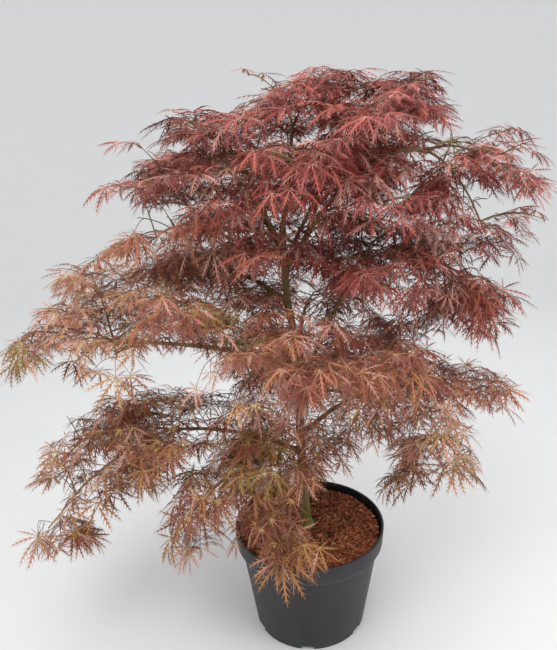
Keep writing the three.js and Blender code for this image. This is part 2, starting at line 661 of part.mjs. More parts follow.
function makeSoil(group) {
  const floor = POT_FLOOR + GAP;
  const neck = BAND_FOOT - POT_WALL;
  const edge = (height) => potInnerRadius(height) - SOIL_CLEARANCE;
  const rings = [
    { radius: edge(floor), height: () => floor },
    { radius: edge(neck), height: () => neck },
    ...SOIL_RINGS.map((part) => ({ radius: edge(neck) * part, height: soilHeight })),
  ];
  const positions = [0, 0, floor];
  for (const ring of rings) {
    for (let k = 0; k < POT_SIDES; k++) {
      const turn = (k / POT_SIDES) * 2 * Math.PI;
      const x = ring.radius * Math.cos(turn);
      const y = ring.radius * Math.sin(turn);
      positions.push(x, y, ring.height(x, y));
    }
  }
  const centre = positions.length / 3;
  positions.push(0, 0, soilHeight(0, 0));
  const triangles = [];
  for (let k = 0; k < POT_SIDES; k++) {
    const next = (k + 1) % POT_SIDES;
    triangles.push(0, 1 + next, 1 + k);
    for (let i = 0; i < rings.length - 1; i++) {
      const here = 1 + i * POT_SIDES;
      const inward = here + POT_SIDES;
      triangles.push(here + k, here + next, inward + next, here + k, inward + next, inward + k);
    }
    const inner = 1 + (rings.length - 1) * POT_SIDES;
    triangles.push(inner + k, inner + next, centre);
  }
  addMesh(group, 'soil', geometryFrom(positions, triangles), SOIL_FINISH);
}

// The plant

function makeWood(group, limbs) {
  const cutters = [];
  for (const limb of limbs.values()) {
    const solid = cutters.reduce((left, cutter) => left.subtract(cutter), limbSolid(limb, 0));
    cutters.push(limbSolid(limb, GAP));
    const finish = limb.name === 'trunk' ? TRUNK_FINISH : LIMB_FINISH;
    addMesh(group, limb.name, geometryOf(wholePiece(solid)), finish);
  }
}

function makeFoliage(group, limbs) {
  const masses = Object.entries(MASSES).map(([name, mass], index) => planStem(name, mass, index, limbs));
  const wood = [...limbs.values()].flatMap((limb) => capsulesAlong(limb, WOOD_CLEARANCE));
  for (const mass of masses) {
    const others = masses.filter((other) => other !== mass);
    mass.neighbours = others.map((other) => flattened(other.centre));
    const stems = others.flatMap((other) => capsulesAlong(other, WOOD_CLEARANCE));
    const leaves = growMass(mass, [...wood, ...stems]);
    const finish = { color: leafColour(mass.centre.z), roughness: LEAF_ROUGHNESS };
    addMesh(group, mass.name, geometryOf(massSolid(mass, leaves)), finish);
  }
}

const maple = new THREE.Group();
const limbs = new Map([['trunk', planTrunk()]]);
for (const [name, size] of Object.entries(LIMBS)) {
  limbs.set(name, planLimb(name, size, limbs));
}
makePot(maple);
makeSoil(maple);
makeWood(maple, limbs);
makeFoliage(maple, limbs);

export default maple;
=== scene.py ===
"""A potted laceleaf Japanese maple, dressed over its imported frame.

The growth tables are in millimetres, in the part's own frame, and every mesh is in metres.
Trunk, boughs, stems and twigs follow the part's own rule. Each leaf of the part stands for a spray,
and is grown here as a twig with several true-size leaves that reach as far.
"""

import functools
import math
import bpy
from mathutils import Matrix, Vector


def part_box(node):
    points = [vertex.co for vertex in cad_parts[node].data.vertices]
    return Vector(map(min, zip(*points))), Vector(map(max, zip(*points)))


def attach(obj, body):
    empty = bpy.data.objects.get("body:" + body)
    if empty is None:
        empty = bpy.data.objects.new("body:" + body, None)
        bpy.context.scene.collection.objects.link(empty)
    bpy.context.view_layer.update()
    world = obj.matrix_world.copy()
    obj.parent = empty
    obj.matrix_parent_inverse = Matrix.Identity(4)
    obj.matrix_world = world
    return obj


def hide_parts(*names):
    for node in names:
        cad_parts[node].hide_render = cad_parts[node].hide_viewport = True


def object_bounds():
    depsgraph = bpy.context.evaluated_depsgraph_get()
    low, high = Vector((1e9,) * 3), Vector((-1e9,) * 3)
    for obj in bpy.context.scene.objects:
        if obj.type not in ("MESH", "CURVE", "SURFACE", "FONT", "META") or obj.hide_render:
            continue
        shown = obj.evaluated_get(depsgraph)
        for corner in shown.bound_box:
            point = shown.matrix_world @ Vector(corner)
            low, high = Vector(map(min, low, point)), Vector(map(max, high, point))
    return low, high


bl_info = {
    "name": "Potted Laceleaf Maple",
    "version": (1, 0, 0),
    "blender": (4, 5, 0),
    "location": "3D View > Sidebar > Maple",
    "description": "Builds a potted laceleaf maple and its plain pale stage, piece by piece",
    "category": "Add Mesh",
}

from types import SimpleNamespace

import bmesh
import bpy
import numpy as np
from mathutils import Matrix, Vector, noise

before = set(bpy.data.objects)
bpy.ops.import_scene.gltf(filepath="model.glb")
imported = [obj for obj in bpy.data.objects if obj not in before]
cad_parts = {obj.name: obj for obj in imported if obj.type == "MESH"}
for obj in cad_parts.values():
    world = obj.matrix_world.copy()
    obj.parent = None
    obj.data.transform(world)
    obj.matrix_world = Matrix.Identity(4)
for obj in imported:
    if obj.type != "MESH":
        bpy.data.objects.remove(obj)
CAD_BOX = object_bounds()
POT_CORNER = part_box("pot")[1]

MM = 0.001
UP = np.array([0.0, 0.0, 1.0])

# Growth rule, in millimetres and degrees

RANDOM_FACTOR = 1664525
RANDOM_STEP = 1013904223
RANDOM_RANGE = 4294967296
GAP = 0.3
SOIL_TOP = 180
TRUNK_TOP = 660
TRUNK_FOOT_RADIUS = 7.8
TRUNK_TIP_RADIUS = 4.0
ROOT_FLARE = 5.5
ROOT_FLARE_HEIGHT = 22
ROOT_FLARE_STEPS = (0, 0.3, 0.65)
TRUNK_LEAN_X = (-4, -8.5, -12, -9, -25, -30)
TRUNK_LEAN_Y = (10, 8, 6, 4, 2, 0)
TRUNK_STEPS = 12
LIMB_STEPS = 4
LIMB_TIP_RADIUS = 2.4
STEM_STEPS = 3
STEM_FOOT_RADIUS = 2.1
STEM_TIP_RADIUS = 1.5
STEM_LEAD = 5
STEM_PLACES = {
    1: ((0, 0),),
    2: ((-2.3, 0), (2.3, 0)),
    3: ((-2.7, -1.35), (0, 2.55), (2.7, -1.35)),
}
LEAF_LENGTH = 80
LEAF_LENGTH_VARIES = 0.16
LARGE_LEAF = {
    "turns": (-112, -76, -38, 0, 38, 76, 112),
    "lobes": (0.56, 0.8, 0.95, 1, 0.95, 0.8, 0.56),
}
SMALL_LEAF = {
    "turns": (-84, -42, 0, 42, 84),
    "lobes": (0.66, 0.9, 1, 0.9, 0.66),
}
LOBE_VALLEY = 0.29
LOBE_DROOP = 24
LOBE_TRIMS = (1, 0.85, 0.7, 0.55, 0.45, 0.36)
LOBE_HALF_WIDTH = 3
LOBE_SPACING = 4.5
DROOP_VARIES = 14
STALK_WIDTH = 1.2
TWIG_WIDTH = 1.9
END_STALK = 20
SIDE_STALK = 34
STALK_VARIES = 0.2
STALK_RISE = 0.12
STALK_RISE_VARIES = 0.3
STALK_FREE_FROM = 0.25
STALK_SPACE = 0.8
END_LEAF_AT = 0.96
TWIGS = (
    {"at": 0.24, "turn": 76, "kind": LARGE_LEAF},
    {"at": 0.24, "turn": -76, "kind": LARGE_LEAF},
    {"at": 0.6, "turn": 56, "kind": LARGE_LEAF},
    {"at": 0.58, "turn": -58, "kind": LARGE_LEAF},
    {"at": 0.9, "turn": 36, "kind": SMALL_LEAF},
    {"at": 0.86, "turn": -36, "kind": SMALL_LEAF},
)
TWIG_TAPER = 0.75
FORKS = ({"until": 0.4, "turn": 0.1}, {"until": 0.7, "turn": -0.3})
MASS_LEAVES = 7
EXTRA_TRIES = 40
EXTRA_TURN = 150
LEAF_TRIES = 6
LEAF_TURN = 20
RETRY_TURN = 14
RETRY_SHORTER = 0.12
RETRY_SMALLER = 0.06
MASS_CENTRE = 0.54
WOOD_CLEARANCE = 2.5
CELL_MARGIN = 1.4
CELL_FLATNESS = 1.3
PARALLEL = 1e-9

# What each limb grows from, how far along, and its heading, run, climb, bow and foot radius
LIMB_WORDS = ("on", "at", "toward", "reach", "rise", "arch", "foot")
LIMBS = {
    "leader_centre": ("trunk", 1, 27, 18, 122, 0, 3.3),
    "leader_left": ("trunk", 0.96, 173, 40, 86, -6, 3.1),
    "bough_upper_left": ("trunk", 0.985, 183, 87, 15, 4, 2.7),
    "green_limb": ("trunk", 0.9, 333, 58, 117, -18, 3.4),
    "bough_upper_right": ("green_limb", 0.5, 5, 151, 101, 34, 2.9),
    "bough_top_right": ("leader_centre", 0.3, 0, 109, 90, 12, 2.7),
    "bough_back_left": ("trunk", 0.93, 124, 126, 96, 10, 3),
    "bough_back_right": ("trunk", 0.91, 56, 131, 101, 10, 3),
    "bough_left_long": ("trunk", 0.604, 183, 254, 49, 10, 3.9),
    "bough_left_mid": ("trunk", 0.8, 145, 110, 28, 10, 3.2),
    "bough_left_front": ("trunk", 0.69, 226, 115, 29, 12, 3.1),
    "bough_right_rise": ("trunk", 0.54, 351, 81, 182, 8, 3.6),
    "bough_right_front": ("trunk", 0.48, 306, 111, 52, 14, 3.1),
    "bough_back_mid": ("trunk", 0.66, 81, 110, 31, 12, 3.3),
    "bough_low_right": ("trunk", 0.36, 353, 139, 91, 16, 3.8),
    "bough_low_left": ("trunk", 0.3, 186, 184, 56, 14, 3.8),
    "bough_low_front": ("trunk", 0.34, 246, 82, 19, 14, 3.2),
    "bough_low_back": ("trunk", 0.42, 98, 95, 30, 14, 3.3),
}

# The limb that each mass grows on, its stem's course, its side twigs' length and its leaves' droop
MASS_WORDS = ("on", "toward", "reach", "rise", "arch", "spread", "droop")
MASSES = {
    "crest_right": ("leader_centre", 351, 53, 47, 14, 56, 16),
    "crest_left": ("leader_centre", 187, 26, 36, 14, 56, 18),
    "left_high": ("leader_left", 176, 68, 54, 16, 60, 18),
    "left_front": ("leader_left", 241, 98, -11, 14, 60, 24),
    "left_upper": ("bough_upper_left", 177, 89, 58, 14, 58, 24),
    "left_under": ("bough_upper_left", 192, 77, -9, 12, 58, 30),
    "front_high": ("green_limb", 245, 99, 19, 16, 60, 24),
    "front_right": ("green_limb", 308, 107, -29, 14, 60, 28),
    "far_right_front": ("bough_upper_right", 329, 79, -90, 16, 60, 34),
    "far_right": ("bough_upper_right", 352, 83, -23, 12, 58, 22),
    "far_right_back": ("bough_upper_right", 56, 131, -12, 12, 60, 26),
    "top_right": ("bough_top_right", 351, 36, 36, 8, 54, 10),
    "right_high": ("bough_top_right", 250, 96, 4, 10, 58, 14),
    "back_left_high": ("bough_back_left", 74, 104, -7, 14, 62, 30),
    "back_left_out": ("bough_back_left", 157, 115, -7, 14, 62, 28),
    "back_right_high": ("bough_back_right", 87, 106, -13, 14, 62, 30),
    "back_right_out": ("bough_back_right", 28, 119, -3, 14, 62, 28),
    "left_tip": ("bough_left_long", 181, 107, -8, 18, 58, 36),
    "left_tip_back": ("bough_left_long", 115, 109, 66, 16, 60, 30),
    "left_tip_front": ("bough_left_long", 287, 69, 6, 14, 58, 30),
    "left_mid": ("bough_left_mid", 197, 86, -1, 16, 62, 26),
    "back_left_mid": ("bough_left_mid", 107, 120, -32, 16, 62, 34),
    "left_front_mid": ("bough_left_front", 195, 77, 66, 16, 62, 32),
    "front_mid": ("bough_left_front", 290, 75, -13, 14, 60, 38),
    "right_inner": ("bough_right_rise", 286, 90, -19, 12, 60, 28),
    "right_back_mid": ("bough_right_rise", 68, 128, -6, 14, 62, 30),
    "right_mid": ("bough_right_rise", 352, 149, -27, 14, 58, 34),
    "front_right_mid": ("bough_right_front", 242, 91, 85, 14, 60, 38),
    "right_front_low": ("bough_right_front", 334, 58, 75, 14, 60, 36),
    "back_mid": ("bough_back_mid", 75, 117, -28, 14, 64, 38),
    "lower_right": ("bough_low_right", 355, 114, -18, 18, 60, 36),
    "lower_right_front": ("bough_low_right", 321, 79, -80, 18, 58, 42),
    "lower_left": ("bough_low_left", 179, 167, -30, 18, 62, 32),
    "lower_left_front": ("bough_low_left", 247, 74, 5, 14, 56, 42),
    "lowest_left": ("bough_low_left", 193, 208, -144, 26, 46, 40),
    "front_hanging": ("bough_low_front", 275, 72, -102, 24, 46, 52),
    "front_left_low": ("bough_low_front", 200, 123, -56, 20, 54, 46),
    "lower_back": ("bough_low_back", 111, 124, -52, 18, 64, 42),
    "lower_back_right": ("bough_low_back", 36, 129, -42, 18, 64, 42),
}


def seeded_numbers(seed):
    """Returns a function that gives numbers between 0 and 1, always the same for the same seed."""
    state = seed

    def next_number():
        nonlocal state
        state = (state * RANDOM_FACTOR + RANDOM_STEP) % RANDOM_RANGE
        return state / RANDOM_RANGE

    return next_number


def vary(random, amount):
    return (random() * 2 - 1) * amount


def blend(start, end, part):
    return start + (end - start) * part


def unit(vector):
    return vector / np.linalg.norm(vector)


def heading(degrees):
    turn = math.radians(degrees)
    return np.array([math.cos(turn), math.sin(turn), 0.0])


def turned(vector, degrees):
    """The vector turned about the upright."""
    turn = math.radians(degrees)
    x, y, z = vector
    return np.array(
        [
            x * math.cos(turn) - y * math.sin(turn),
            x * math.sin(turn) + y * math.cos(turn),
            z,
        ]
    )


# Paths of the trunk, the limbs and the stems


def trunk_knot(i):
    """A knot of the trunk's curve. Past either end the curve carries on as it came."""
    last = len(TRUNK_LEAN_X) - 1
    if i < 0:
        return 2 * trunk_knot(0) - trunk_knot(1)
    if i > last:
        return 2 * trunk_knot(last) - trunk_knot(last - 1)
    height = SOIL_TOP + (TRUNK_TOP - SOIL_TOP) * (i / last)
    return np.array([TRUNK_LEAN_X[i], TRUNK_LEAN_Y[i], height])


def curve_point(before, start, end, after, part):
    """A point of a smooth curve that runs through its knots."""
    leaving = (end - before) * 0.5
    coming = (after - start) * 0.5
    cubic = 2 * start - 2 * end + leaving + coming
    square = -3 * start + 3 * end - 2 * leaving - coming
    return cubic * part**3 + square * part**2 + leaving * part + start


def trunk_point(t):
    steps = len(TRUNK_LEAN_X) - 1
    step = min(int(t * steps), steps - 1)
    knots = [trunk_knot(step + i) for i in (-1, 0, 1, 2)]
    return curve_point(*knots, t * steps - step)


def trunk_radius(t):
    height = (TRUNK_TOP - SOIL_TOP) * t
    flare = ROOT_FLARE * max(0, 1 - height / ROOT_FLARE_HEIGHT) ** 2
    return blend(TRUNK_FOOT_RADIUS, TRUNK_TIP_RADIUS, t) + flare


def bowed_point(start, run, t):
    lift = run["rise"] * t + run["arch"] * 4 * t * (1 - t)
    return start + heading(run["toward"]) * (run["reach"] * t) + UP * lift


def plan_limbs():
    """The trunk and every limb, with the points and radii that foliage keeps clear of."""
    flare_steps = [part * ROOT_FLARE_HEIGHT / (TRUNK_TOP - SOIL_TOP) for part in ROOT_FLARE_STEPS]
    steps = flare_steps + [(i + 1) / TRUNK_STEPS for i in range(TRUNK_STEPS)]
    limbs = {
        "trunk": SimpleNamespace(
            name="trunk",
            point_at=trunk_point,
            radius_at=trunk_radius,
            points=[trunk_point(t) for t in steps],
            radii=[trunk_radius(t) for t in steps],
        )
    }
    for name, row in LIMBS.items():
        size = dict(zip(LIMB_WORDS, row))
        start = limbs[size["on"]].point_at(size["at"])
        point_at = functools.partial(bowed_point, start, size)
        radius_at = functools.partial(blend, size["foot"], LIMB_TIP_RADIUS)
        parts = [i / LIMB_STEPS for i in range(LIMB_STEPS + 1)]
        limbs[name] = SimpleNamespace(
            name=name,
            on=size["on"],
            at=size["at"],
            point_at=point_at,
            radius_at=radius_at,
            points=[point_at(t) for t in parts],
            radii=[radius_at(t) for t in parts],
        )
    return limbs


def turn_from(along, toward):
    ahead = heading(toward)
    across = along[0] * ahead[1] - along[1] * ahead[0]
    return math.atan2(across, along[0] * ahead[0] + along[1] * ahead[1])


def stem_foot(limb, along, siblings, index):
    """Where a stem starts at its limb's end, so that two or three stand side by side."""
    aside = unit(np.cross(UP, along))
    over = np.cross(along, aside)
    sideways, upward = STEM_PLACES[siblings][index]
    return limb.points[-1] + along * GAP + aside * sideways + over * upward


def plan_mass(name, index, rows, limbs):
    """A mass with its stem, before its leaves have grown."""
    size = rows[name]
    limb = limbs[size["on"]]
    along = unit(limb.points[-1] - limb.points[-2])
    siblings = [row["toward"] for row in rows.values() if row["on"] == size["on"]]
    siblings.sort(key=lambda toward: turn_from(along, toward))
    foot = stem_foot(limb, along, len(siblings), siblings.index(size["toward"]))
    lead = foot + along * STEM_LEAD
    joints = [bowed_point(lead, size, i / STEM_STEPS) for i in range(STEM_STEPS + 1)]

    def point_at(t):
        step = min(int(t * STEM_STEPS), STEM_STEPS - 1)
        return blend(joints[step], joints[step + 1], t * STEM_STEPS - step)

    taper = (STEM_TIP_RADIUS - STEM_FOOT_RADIUS) / STEM_STEPS
    return SimpleNamespace(
        name=name,
        limb=limb,
        seed=index + 1,
        toward=size["toward"],
        spread=size["spread"],
        droop=size["droop"],
        points=[foot, *joints],
        radii=[STEM_FOOT_RADIUS, *(STEM_FOOT_RADIUS + taper * i for i in range(STEM_STEPS + 1))],
        point_at=point_at,
        centre=point_at(MASS_CENTRE),
        leaves=[],
    )


# Tests that keep a mass to its own space


def flattened(point):
    return point * np.array([1, 1, CELL_FLATNESS])


def inside_cell(point, mass):
    """True where the point is nearer to its own mass's centre than to any other's."""
    here = flattened(point)
    own = flattened(mass.centre)
    to_own = np.sum((here - own) ** 2)
    to_others = np.sum((mass.neighbours - here) ** 2, axis=1)
    apart = np.linalg.norm(mass.neighbours - own, axis=1)
    return bool(np.all((to_others - to_own) / (2 * apart) > CELL_MARGIN * CELL_FLATNESS))


class Rods:
    """Straight rods that new growth has to miss."""

    def __init__(self):
        self.starts = np.empty((0, 3))
        self.runs = np.empty((0, 3))
        self.radii = np.empty(0)

    def add(self, starts, ends, radii):
        starts = np.atleast_2d(starts)
        self.starts = np.vstack([self.starts, starts])
        self.runs = np.vstack([self.runs, np.atleast_2d(ends) - starts])
        self.radii = np.append(self.radii, radii)

    def add_path(self, path, clearance):
        radii = np.array(path.radii[:-1]) + clearance
        self.add(np.array(path.points[:-1]), np.array(path.points[1:]), radii)

    def are_clear(self, start, end, radius):
        """True where a rod from start to end touches none of these."""
        if len(self.radii) == 0:
            return True
        along = end - start
        between = start - self.starts
        own_square = along @ along
        squares = np.sum(self.runs**2, axis=1)
        shared = self.runs @ along
        own_lead = between @ along
        leads = np.sum(self.runs * between, axis=1)
        across = own_square * squares - shared * shared
        slanted = across > PARALLEL
        over = shared * leads - own_lead * squares
        ratio = np.divide(over, across, out=np.zeros_like(across), where=slanted)
        parts = np.clip((shared * np.clip(ratio, 0, 1) + leads) / squares, 0, 1)
        own_parts = np.clip((shared * parts - own_lead) / own_square, 0, 1)
        nearest = between + np.outer(own_parts, along) - self.runs * parts[:, None]
        return bool(np.all(np.linalg.norm(nearest, axis=1) > radius + self.radii))


# Leaves of the part, each the pattern of one spray


def plan_leaf(size, mass, space):
    """The lobe tips of one leaf, or None where it has no room."""
    root, tip, facing, length, kind = size.root, size.tip, size.facing, size.length, size.kind
    stalk_start = blend(root, tip, STALK_FREE_FROM)
    if not inside_cell(tip, mass) or not space.obstacles.are_clear(stalk_start, tip, size.width):
        return None
    ahead = unit(facing * np.array([1, 1, 0]))
    aside = np.cross(UP, ahead)
    pitch = math.radians(size.droop)
    forward = ahead * math.cos(pitch) - UP * math.sin(pitch)
    normal = np.cross(forward, aside)

    def lobe(turn, reach, bend):
        out = forward * math.cos(math.radians(turn)) + aside * math.sin(math.radians(turn))
        drop = normal * (reach * math.sin(math.radians(bend)))
        return tip + out * (reach * math.cos(math.radians(bend))) - drop

    def fits(point):
        return (
            inside_cell(point, mass)
            and space.obstacles.are_clear(tip, point, LOBE_HALF_WIDTH)
            and space.own_wood.are_clear(tip, point, LOBE_HALF_WIDTH)
        )

    tips = []
    for turn, part in zip(kind["turns"], kind["lobes"]):
        choices = (lobe(turn, length * part * trim, LOBE_DROOP) for trim in LOBE_TRIMS)
        point = next((choice for choice in choices if fits(choice)), None)
        if point is None:
            return None
        tips.append(point)
    for before, after in zip(kind["turns"], kind["turns"][1:]):
        if not fits(lobe((before + after) / 2, length * LOBE_VALLEY, LOBE_DROOP / 2)):
            return None
    return SimpleNamespace(root=root, tip=tip, tips=tips, width=size.width)


def grow_leaf(mass, place, space):
    """Tries a leaf at its place, each time turned further, shorter and smaller."""
    for attempt in range(LEAF_TRIES):
        out = turned(place.facing, vary(space.random, LEAF_TURN + RETRY_TURN * attempt))
        shorter = 1 - RETRY_SHORTER * attempt
        run = place.reach * shorter * (1 + vary(space.random, STALK_VARIES))
        climb = (STALK_RISE + vary(space.random, STALK_RISE_VARIES)) * run
        tip = place.root + out * run + UP * climb
        droop = mass.droop + vary(space.random, DROOP_VARIES)
        scale = (1 + vary(space.random, LEAF_LENGTH_VARIES)) * (1 - RETRY_SMALLER * attempt)
        size = SimpleNamespace(
            root=place.root,
            tip=tip,
            facing=out,
            droop=droop,
            length=LEAF_LENGTH * scale,
            width=place.width,
            kind=place.kind,
        )
        leaf = plan_leaf(size, mass, space)
        if leaf is not None:
            return leaf
    return None


def add_leaf(mass, space, root, facing, reach, width, kind):
    place = SimpleNamespace(root=root, facing=facing, reach=reach, width=width, kind=kind)
    leaf = grow_leaf(mass, place, space) if inside_cell(root, mass) else None
    if leaf is not None:
        mass.leaves.append(leaf)
        count = len(leaf.tips)
        space.obstacles.add([leaf.tip] * count, leaf.tips, [LOBE_SPACING] * count)
        space.own_wood.add(root, blend(root, leaf.tip, STALK_SPACE), [width / 2])
    return leaf


def grow_mass(mass, masses, limbs):
    """A leaf at the stem's tip, side twigs in pairs, and single leaves where room is left."""
    space = SimpleNamespace(random=seeded_numbers(mass.seed), obstacles=Rods(), own_wood=Rods())
    for limb in limbs.values():
        space.obstacles.add_path(limb, WOOD_CLEARANCE)
    for other in masses:
        if other is not mass:
            space.obstacles.add_path(other, WOOD_CLEARANCE)
    space.own_wood.add_path(mass, 0)
    ahead = heading(mass.toward)
    end = mass.point_at(END_LEAF_AT)
    add_leaf(mass, space, end, ahead, END_STALK, STALK_WIDTH, LARGE_LEAF)
    for row in TWIGS:
        facing = turned(ahead, row["turn"])
        reach = mass.spread * TWIG_TAPER ** row["at"]
        root = mass.point_at(row["at"])
        twig = add_leaf(mass, space, root, facing, reach, TWIG_WIDTH, row["kind"])
        fork = next((fork for fork in FORKS if row["at"] < fork["until"]), None)
        if twig is not None and fork is not None:
            side = unit(blend(ahead, facing, fork["turn"]))
            middle = blend(twig.root, twig.tip, 0.5)
            add_leaf(mass, space, middle, side, SIDE_STALK, STALK_WIDTH, SMALL_LEAF)
    for _ in range(EXTRA_TRIES):
        if len(mass.leaves) >= MASS_LEAVES:
            break
        root = mass.point_at(space.random())
        facing = turned(ahead, vary(space.random, EXTRA_TURN))
        add_leaf(mass, space, root, facing, SIDE_STALK, STALK_WIDTH, SMALL_LEAF)
    del mass.leaves[MASS_LEAVES:]


@functools.cache
def grown_tree():
    """Limbs and foliage masses of the whole plant, worked out once."""
    limbs = plan_limbs()
    rows = {name: dict(zip(MASS_WORDS, row)) for name, row in MASSES.items()}
    masses = [plan_mass(name, i, rows, limbs) for i, name in enumerate(rows)]
    for mass in masses:
        others = [flattened(other.centre) for other in masses if other is not mass]
        mass.neighbours = np.array(others)
    for mass in masses:
        grow_mass(mass, masses, limbs)
    return limbs, masses


# Mesh makers shared by the pieces

NEARLY_UPRIGHT = 0.9
MERGE_DISTANCE = 1e-6


def scene_piece(name, mesh, *materials):
    """A new object at the origin, with the given materials."""
    piece = bpy.data.objects.new(name, mesh)
    bpy.context.scene.collection.objects.link(piece)
    for material in materials:
        mesh.materials.append(material)
    return piece


def mesh_from(bm, name):
    """Ends a bmesh as a smooth mesh with its faces outward."""
    bmesh.ops.recalc_face_normals(bm, faces=bm.faces)
    for face in bm.faces:
        face.smooth = True
    mesh = bpy.data.meshes.new(name)
    bm.to_mesh(mesh)
    bm.free()
    return mesh


def mesh_from_copies(name, copies, tints, smooth=False):
    """One mesh of many placed copies. A copy is its vertices and triangles, and a tint is its
    material, the same all over or one for each triangle."""
    vertices = np.concatenate([vertices for vertices, _ in copies])
    counts = np.cumsum([0] + [len(vertices) for vertices, _ in copies[:-1]])
    faces = np.concatenate([faces + count for (_, faces), count in zip(copies, counts)])
    places = np.concatenate([np.full(len(faces), tint) for (_, faces), tint in zip(copies, tints)])
    mesh = bpy.data.meshes.new(name)
    mesh.vertices.add(len(vertices))
    mesh.vertices.foreach_set("co", (vertices * MM).ravel())
    mesh.loops.add(faces.size)
    mesh.loops.foreach_set("vertex_index", faces.ravel())
    mesh.polygons.add(len(faces))
    mesh.polygons.foreach_set("loop_start", np.arange(0, faces.size, 3))
    mesh.polygons.foreach_set("material_index", places)
    mesh.polygons.foreach_set("use_smooth", np.full(len(faces), smooth))
    mesh.update(calc_edges=True)
    return mesh


def triangles_of(bm):
    """Vertices and triangles of a pattern that is copied many times, in its own units."""
    bmesh.ops.triangulate(bm, faces=bm.faces)
    bm.verts.index_update()
    vertices = np.array([vert.co[:] for vert in bm.verts])
    faces = np.array([[vert.index for vert in face.verts] for face in bm.faces])
    bm.free()
    return vertices, faces


def extruded_ring(bm, ring):
    """Extrudes a ring or row of edges in place, and gives the new one and its vertices."""
    grown = bmesh.ops.extrude_edge_only(bm, edges=ring)["geom"]
    verts = [item for item in grown if isinstance(item, bmesh.types.BMVert)]
    edges = [item for item in grown if isinstance(item, bmesh.types.BMEdge)]
    return [edge for edge in edges if set(verts).issuperset(edge.verts)], verts


def tube_axes(points):
    """The two cross directions at each point of a path, carried along it without a twist."""
    points = np.asarray(points, float)
    runs = np.gradient(points, axis=0)
    runs /= np.linalg.norm(runs, axis=1)[:, None]
    reference = np.array([1.0, 0, 0]) if abs(runs[0][2]) > NEARLY_UPRIGHT else UP
    side = np.cross(runs[0], reference)
    sides = []
    for run in runs:
        side = unit(side - run * (side @ run))
        sides.append(side)
    sides = np.array(sides)
    return runs, sides, np.cross(runs, sides)


def swept_tube(points, radii, sides, relief):
    """A round tube in metres along points in millimetres, with its skin lifted by its relief."""
    runs, aside, over = tube_axes(points)
    bm = bmesh.new()
    bmesh.ops.create_circle(bm, segments=sides, radius=1)
    ring, verts = list(bm.edges), list(bm.verts)
    here = Matrix.Identity(4)
    rings = []
    for i, (point, radius) in enumerate(zip(points, radii)):
        if i > 0:
            ring, verts = extruded_ring(bm, ring)
        columns = [aside[i] * radius * MM, over[i] * radius * MM, runs[i] * MM]
        there = Matrix.Identity(4)
        for k, column in enumerate([*columns, point * MM]):
            there.col[k][:3] = column
        bmesh.ops.transform(bm, matrix=there @ here.inverted(), verts=verts)
        here = there
        rings.append((Vector(point * MM), verts))
    open_edges = [edge for edge in bm.edges if edge.is_boundary]
    bmesh.ops.holes_fill(bm, edges=open_edges, sides=0)
    lengths = np.linalg.norm(np.diff(points, axis=0), axis=1)
    for (centre, verts), along in zip(rings, np.append(0, np.cumsum(lengths))):
        for vert in verts:
            out = (vert.co - centre).normalized()
            vert.co += out * relief(vert.co, out, along) * MM
    return bm


def rod_pattern(sides, stations):
    """A straight closed rod of unit radius, one unit long per station, to be bent along paths."""
    bm = bmesh.new()
    bmesh.ops.create_circle(bm, segments=sides, radius=1)
    ring = list(bm.edges)
    for _ in range(stations - 1):
        ring, verts = extruded_ring(bm, ring)
        bmesh.ops.translate(bm, vec=(0, 0, 1), verts=verts)
    bmesh.ops.holes_fill(bm, edges=[edge for edge in bm.edges if edge.is_boundary], sides=0)
    bmesh.ops.recalc_face_normals(bm, faces=bm.faces)
    return triangles_of(bm)


def bent_rod(pattern, points, radii):
    """The rod pattern laid along a path, in millimetres."""
    vertices, faces = pattern
    _, aside, over = tube_axes(points)
    station = np.rint(vertices[:, 2]).astype(int)
    radius = np.asarray(radii)[station][:, None]
    across = aside[station] * vertices[:, :1] + over[station] * vertices[:, 1:2]
    return np.asarray(points)[station] + across * radius, faces


def path_length(points):
    return sum(np.linalg.norm(b - a) for a, b in zip(points, points[1:]))


def arc_points(start, end, lift, count):
    """Points from start to end, bowed upward by lift."""
    parts = np.linspace(0, 1, count)[:, None]
    return start + (end - start) * parts + UP * (lift * 4 * parts * (1 - parts))


def smooth_points(knots, count):
    """Evenly dealt points of a smooth curve through its knots."""
    knots = [2 * knots[0] - knots[1], *knots, 2 * knots[-1] - knots[-2]]
    spans = len(knots) - 3
    points = []
    for i in range(count):
        place = i / (count - 1) * spans
        span = min(int(place), spans - 1)
        points.append(curve_point(*knots[span : span + 4], place - span))
    return np.array(points)


# Materials

RANGE_SOCKETS = ("From Min", "From Max", "To Min", "To Max")


def linear(colour):
    """A screen colour, 0 to 255, as the shader's own numbers."""
    parts = [part / 255 for part in colour]
    return [part / 12.92 if part <= 0.04045 else ((part + 0.055) / 1.055) ** 2.4 for part in parts]


def toned(colour, gain, lift=0):
    """A lighter or darker kind of a colour."""
    return [min(1, part * gain + lift) for part in colour]


def plain_material(name, colour, roughness, specular):
    """A material of one colour, for one tint among many small things."""
    material = bpy.data.materials.new(name)
    material.use_nodes = True
    shader = material.node_tree.nodes["Principled BSDF"]
    shader.inputs["Base Color"].default_value = (*colour, 1)
    shader.inputs["Roughness"].default_value = roughness
    shader.inputs["Specular IOR Level"].default_value = specular
    return material


def tint_materials(name, colours, roughness, specular):
    """One plain material for each of some tints."""
    return [
        plain_material(f"{name}_{i}", colour, roughness, specular)
        for i, colour in enumerate(colours)
    ]


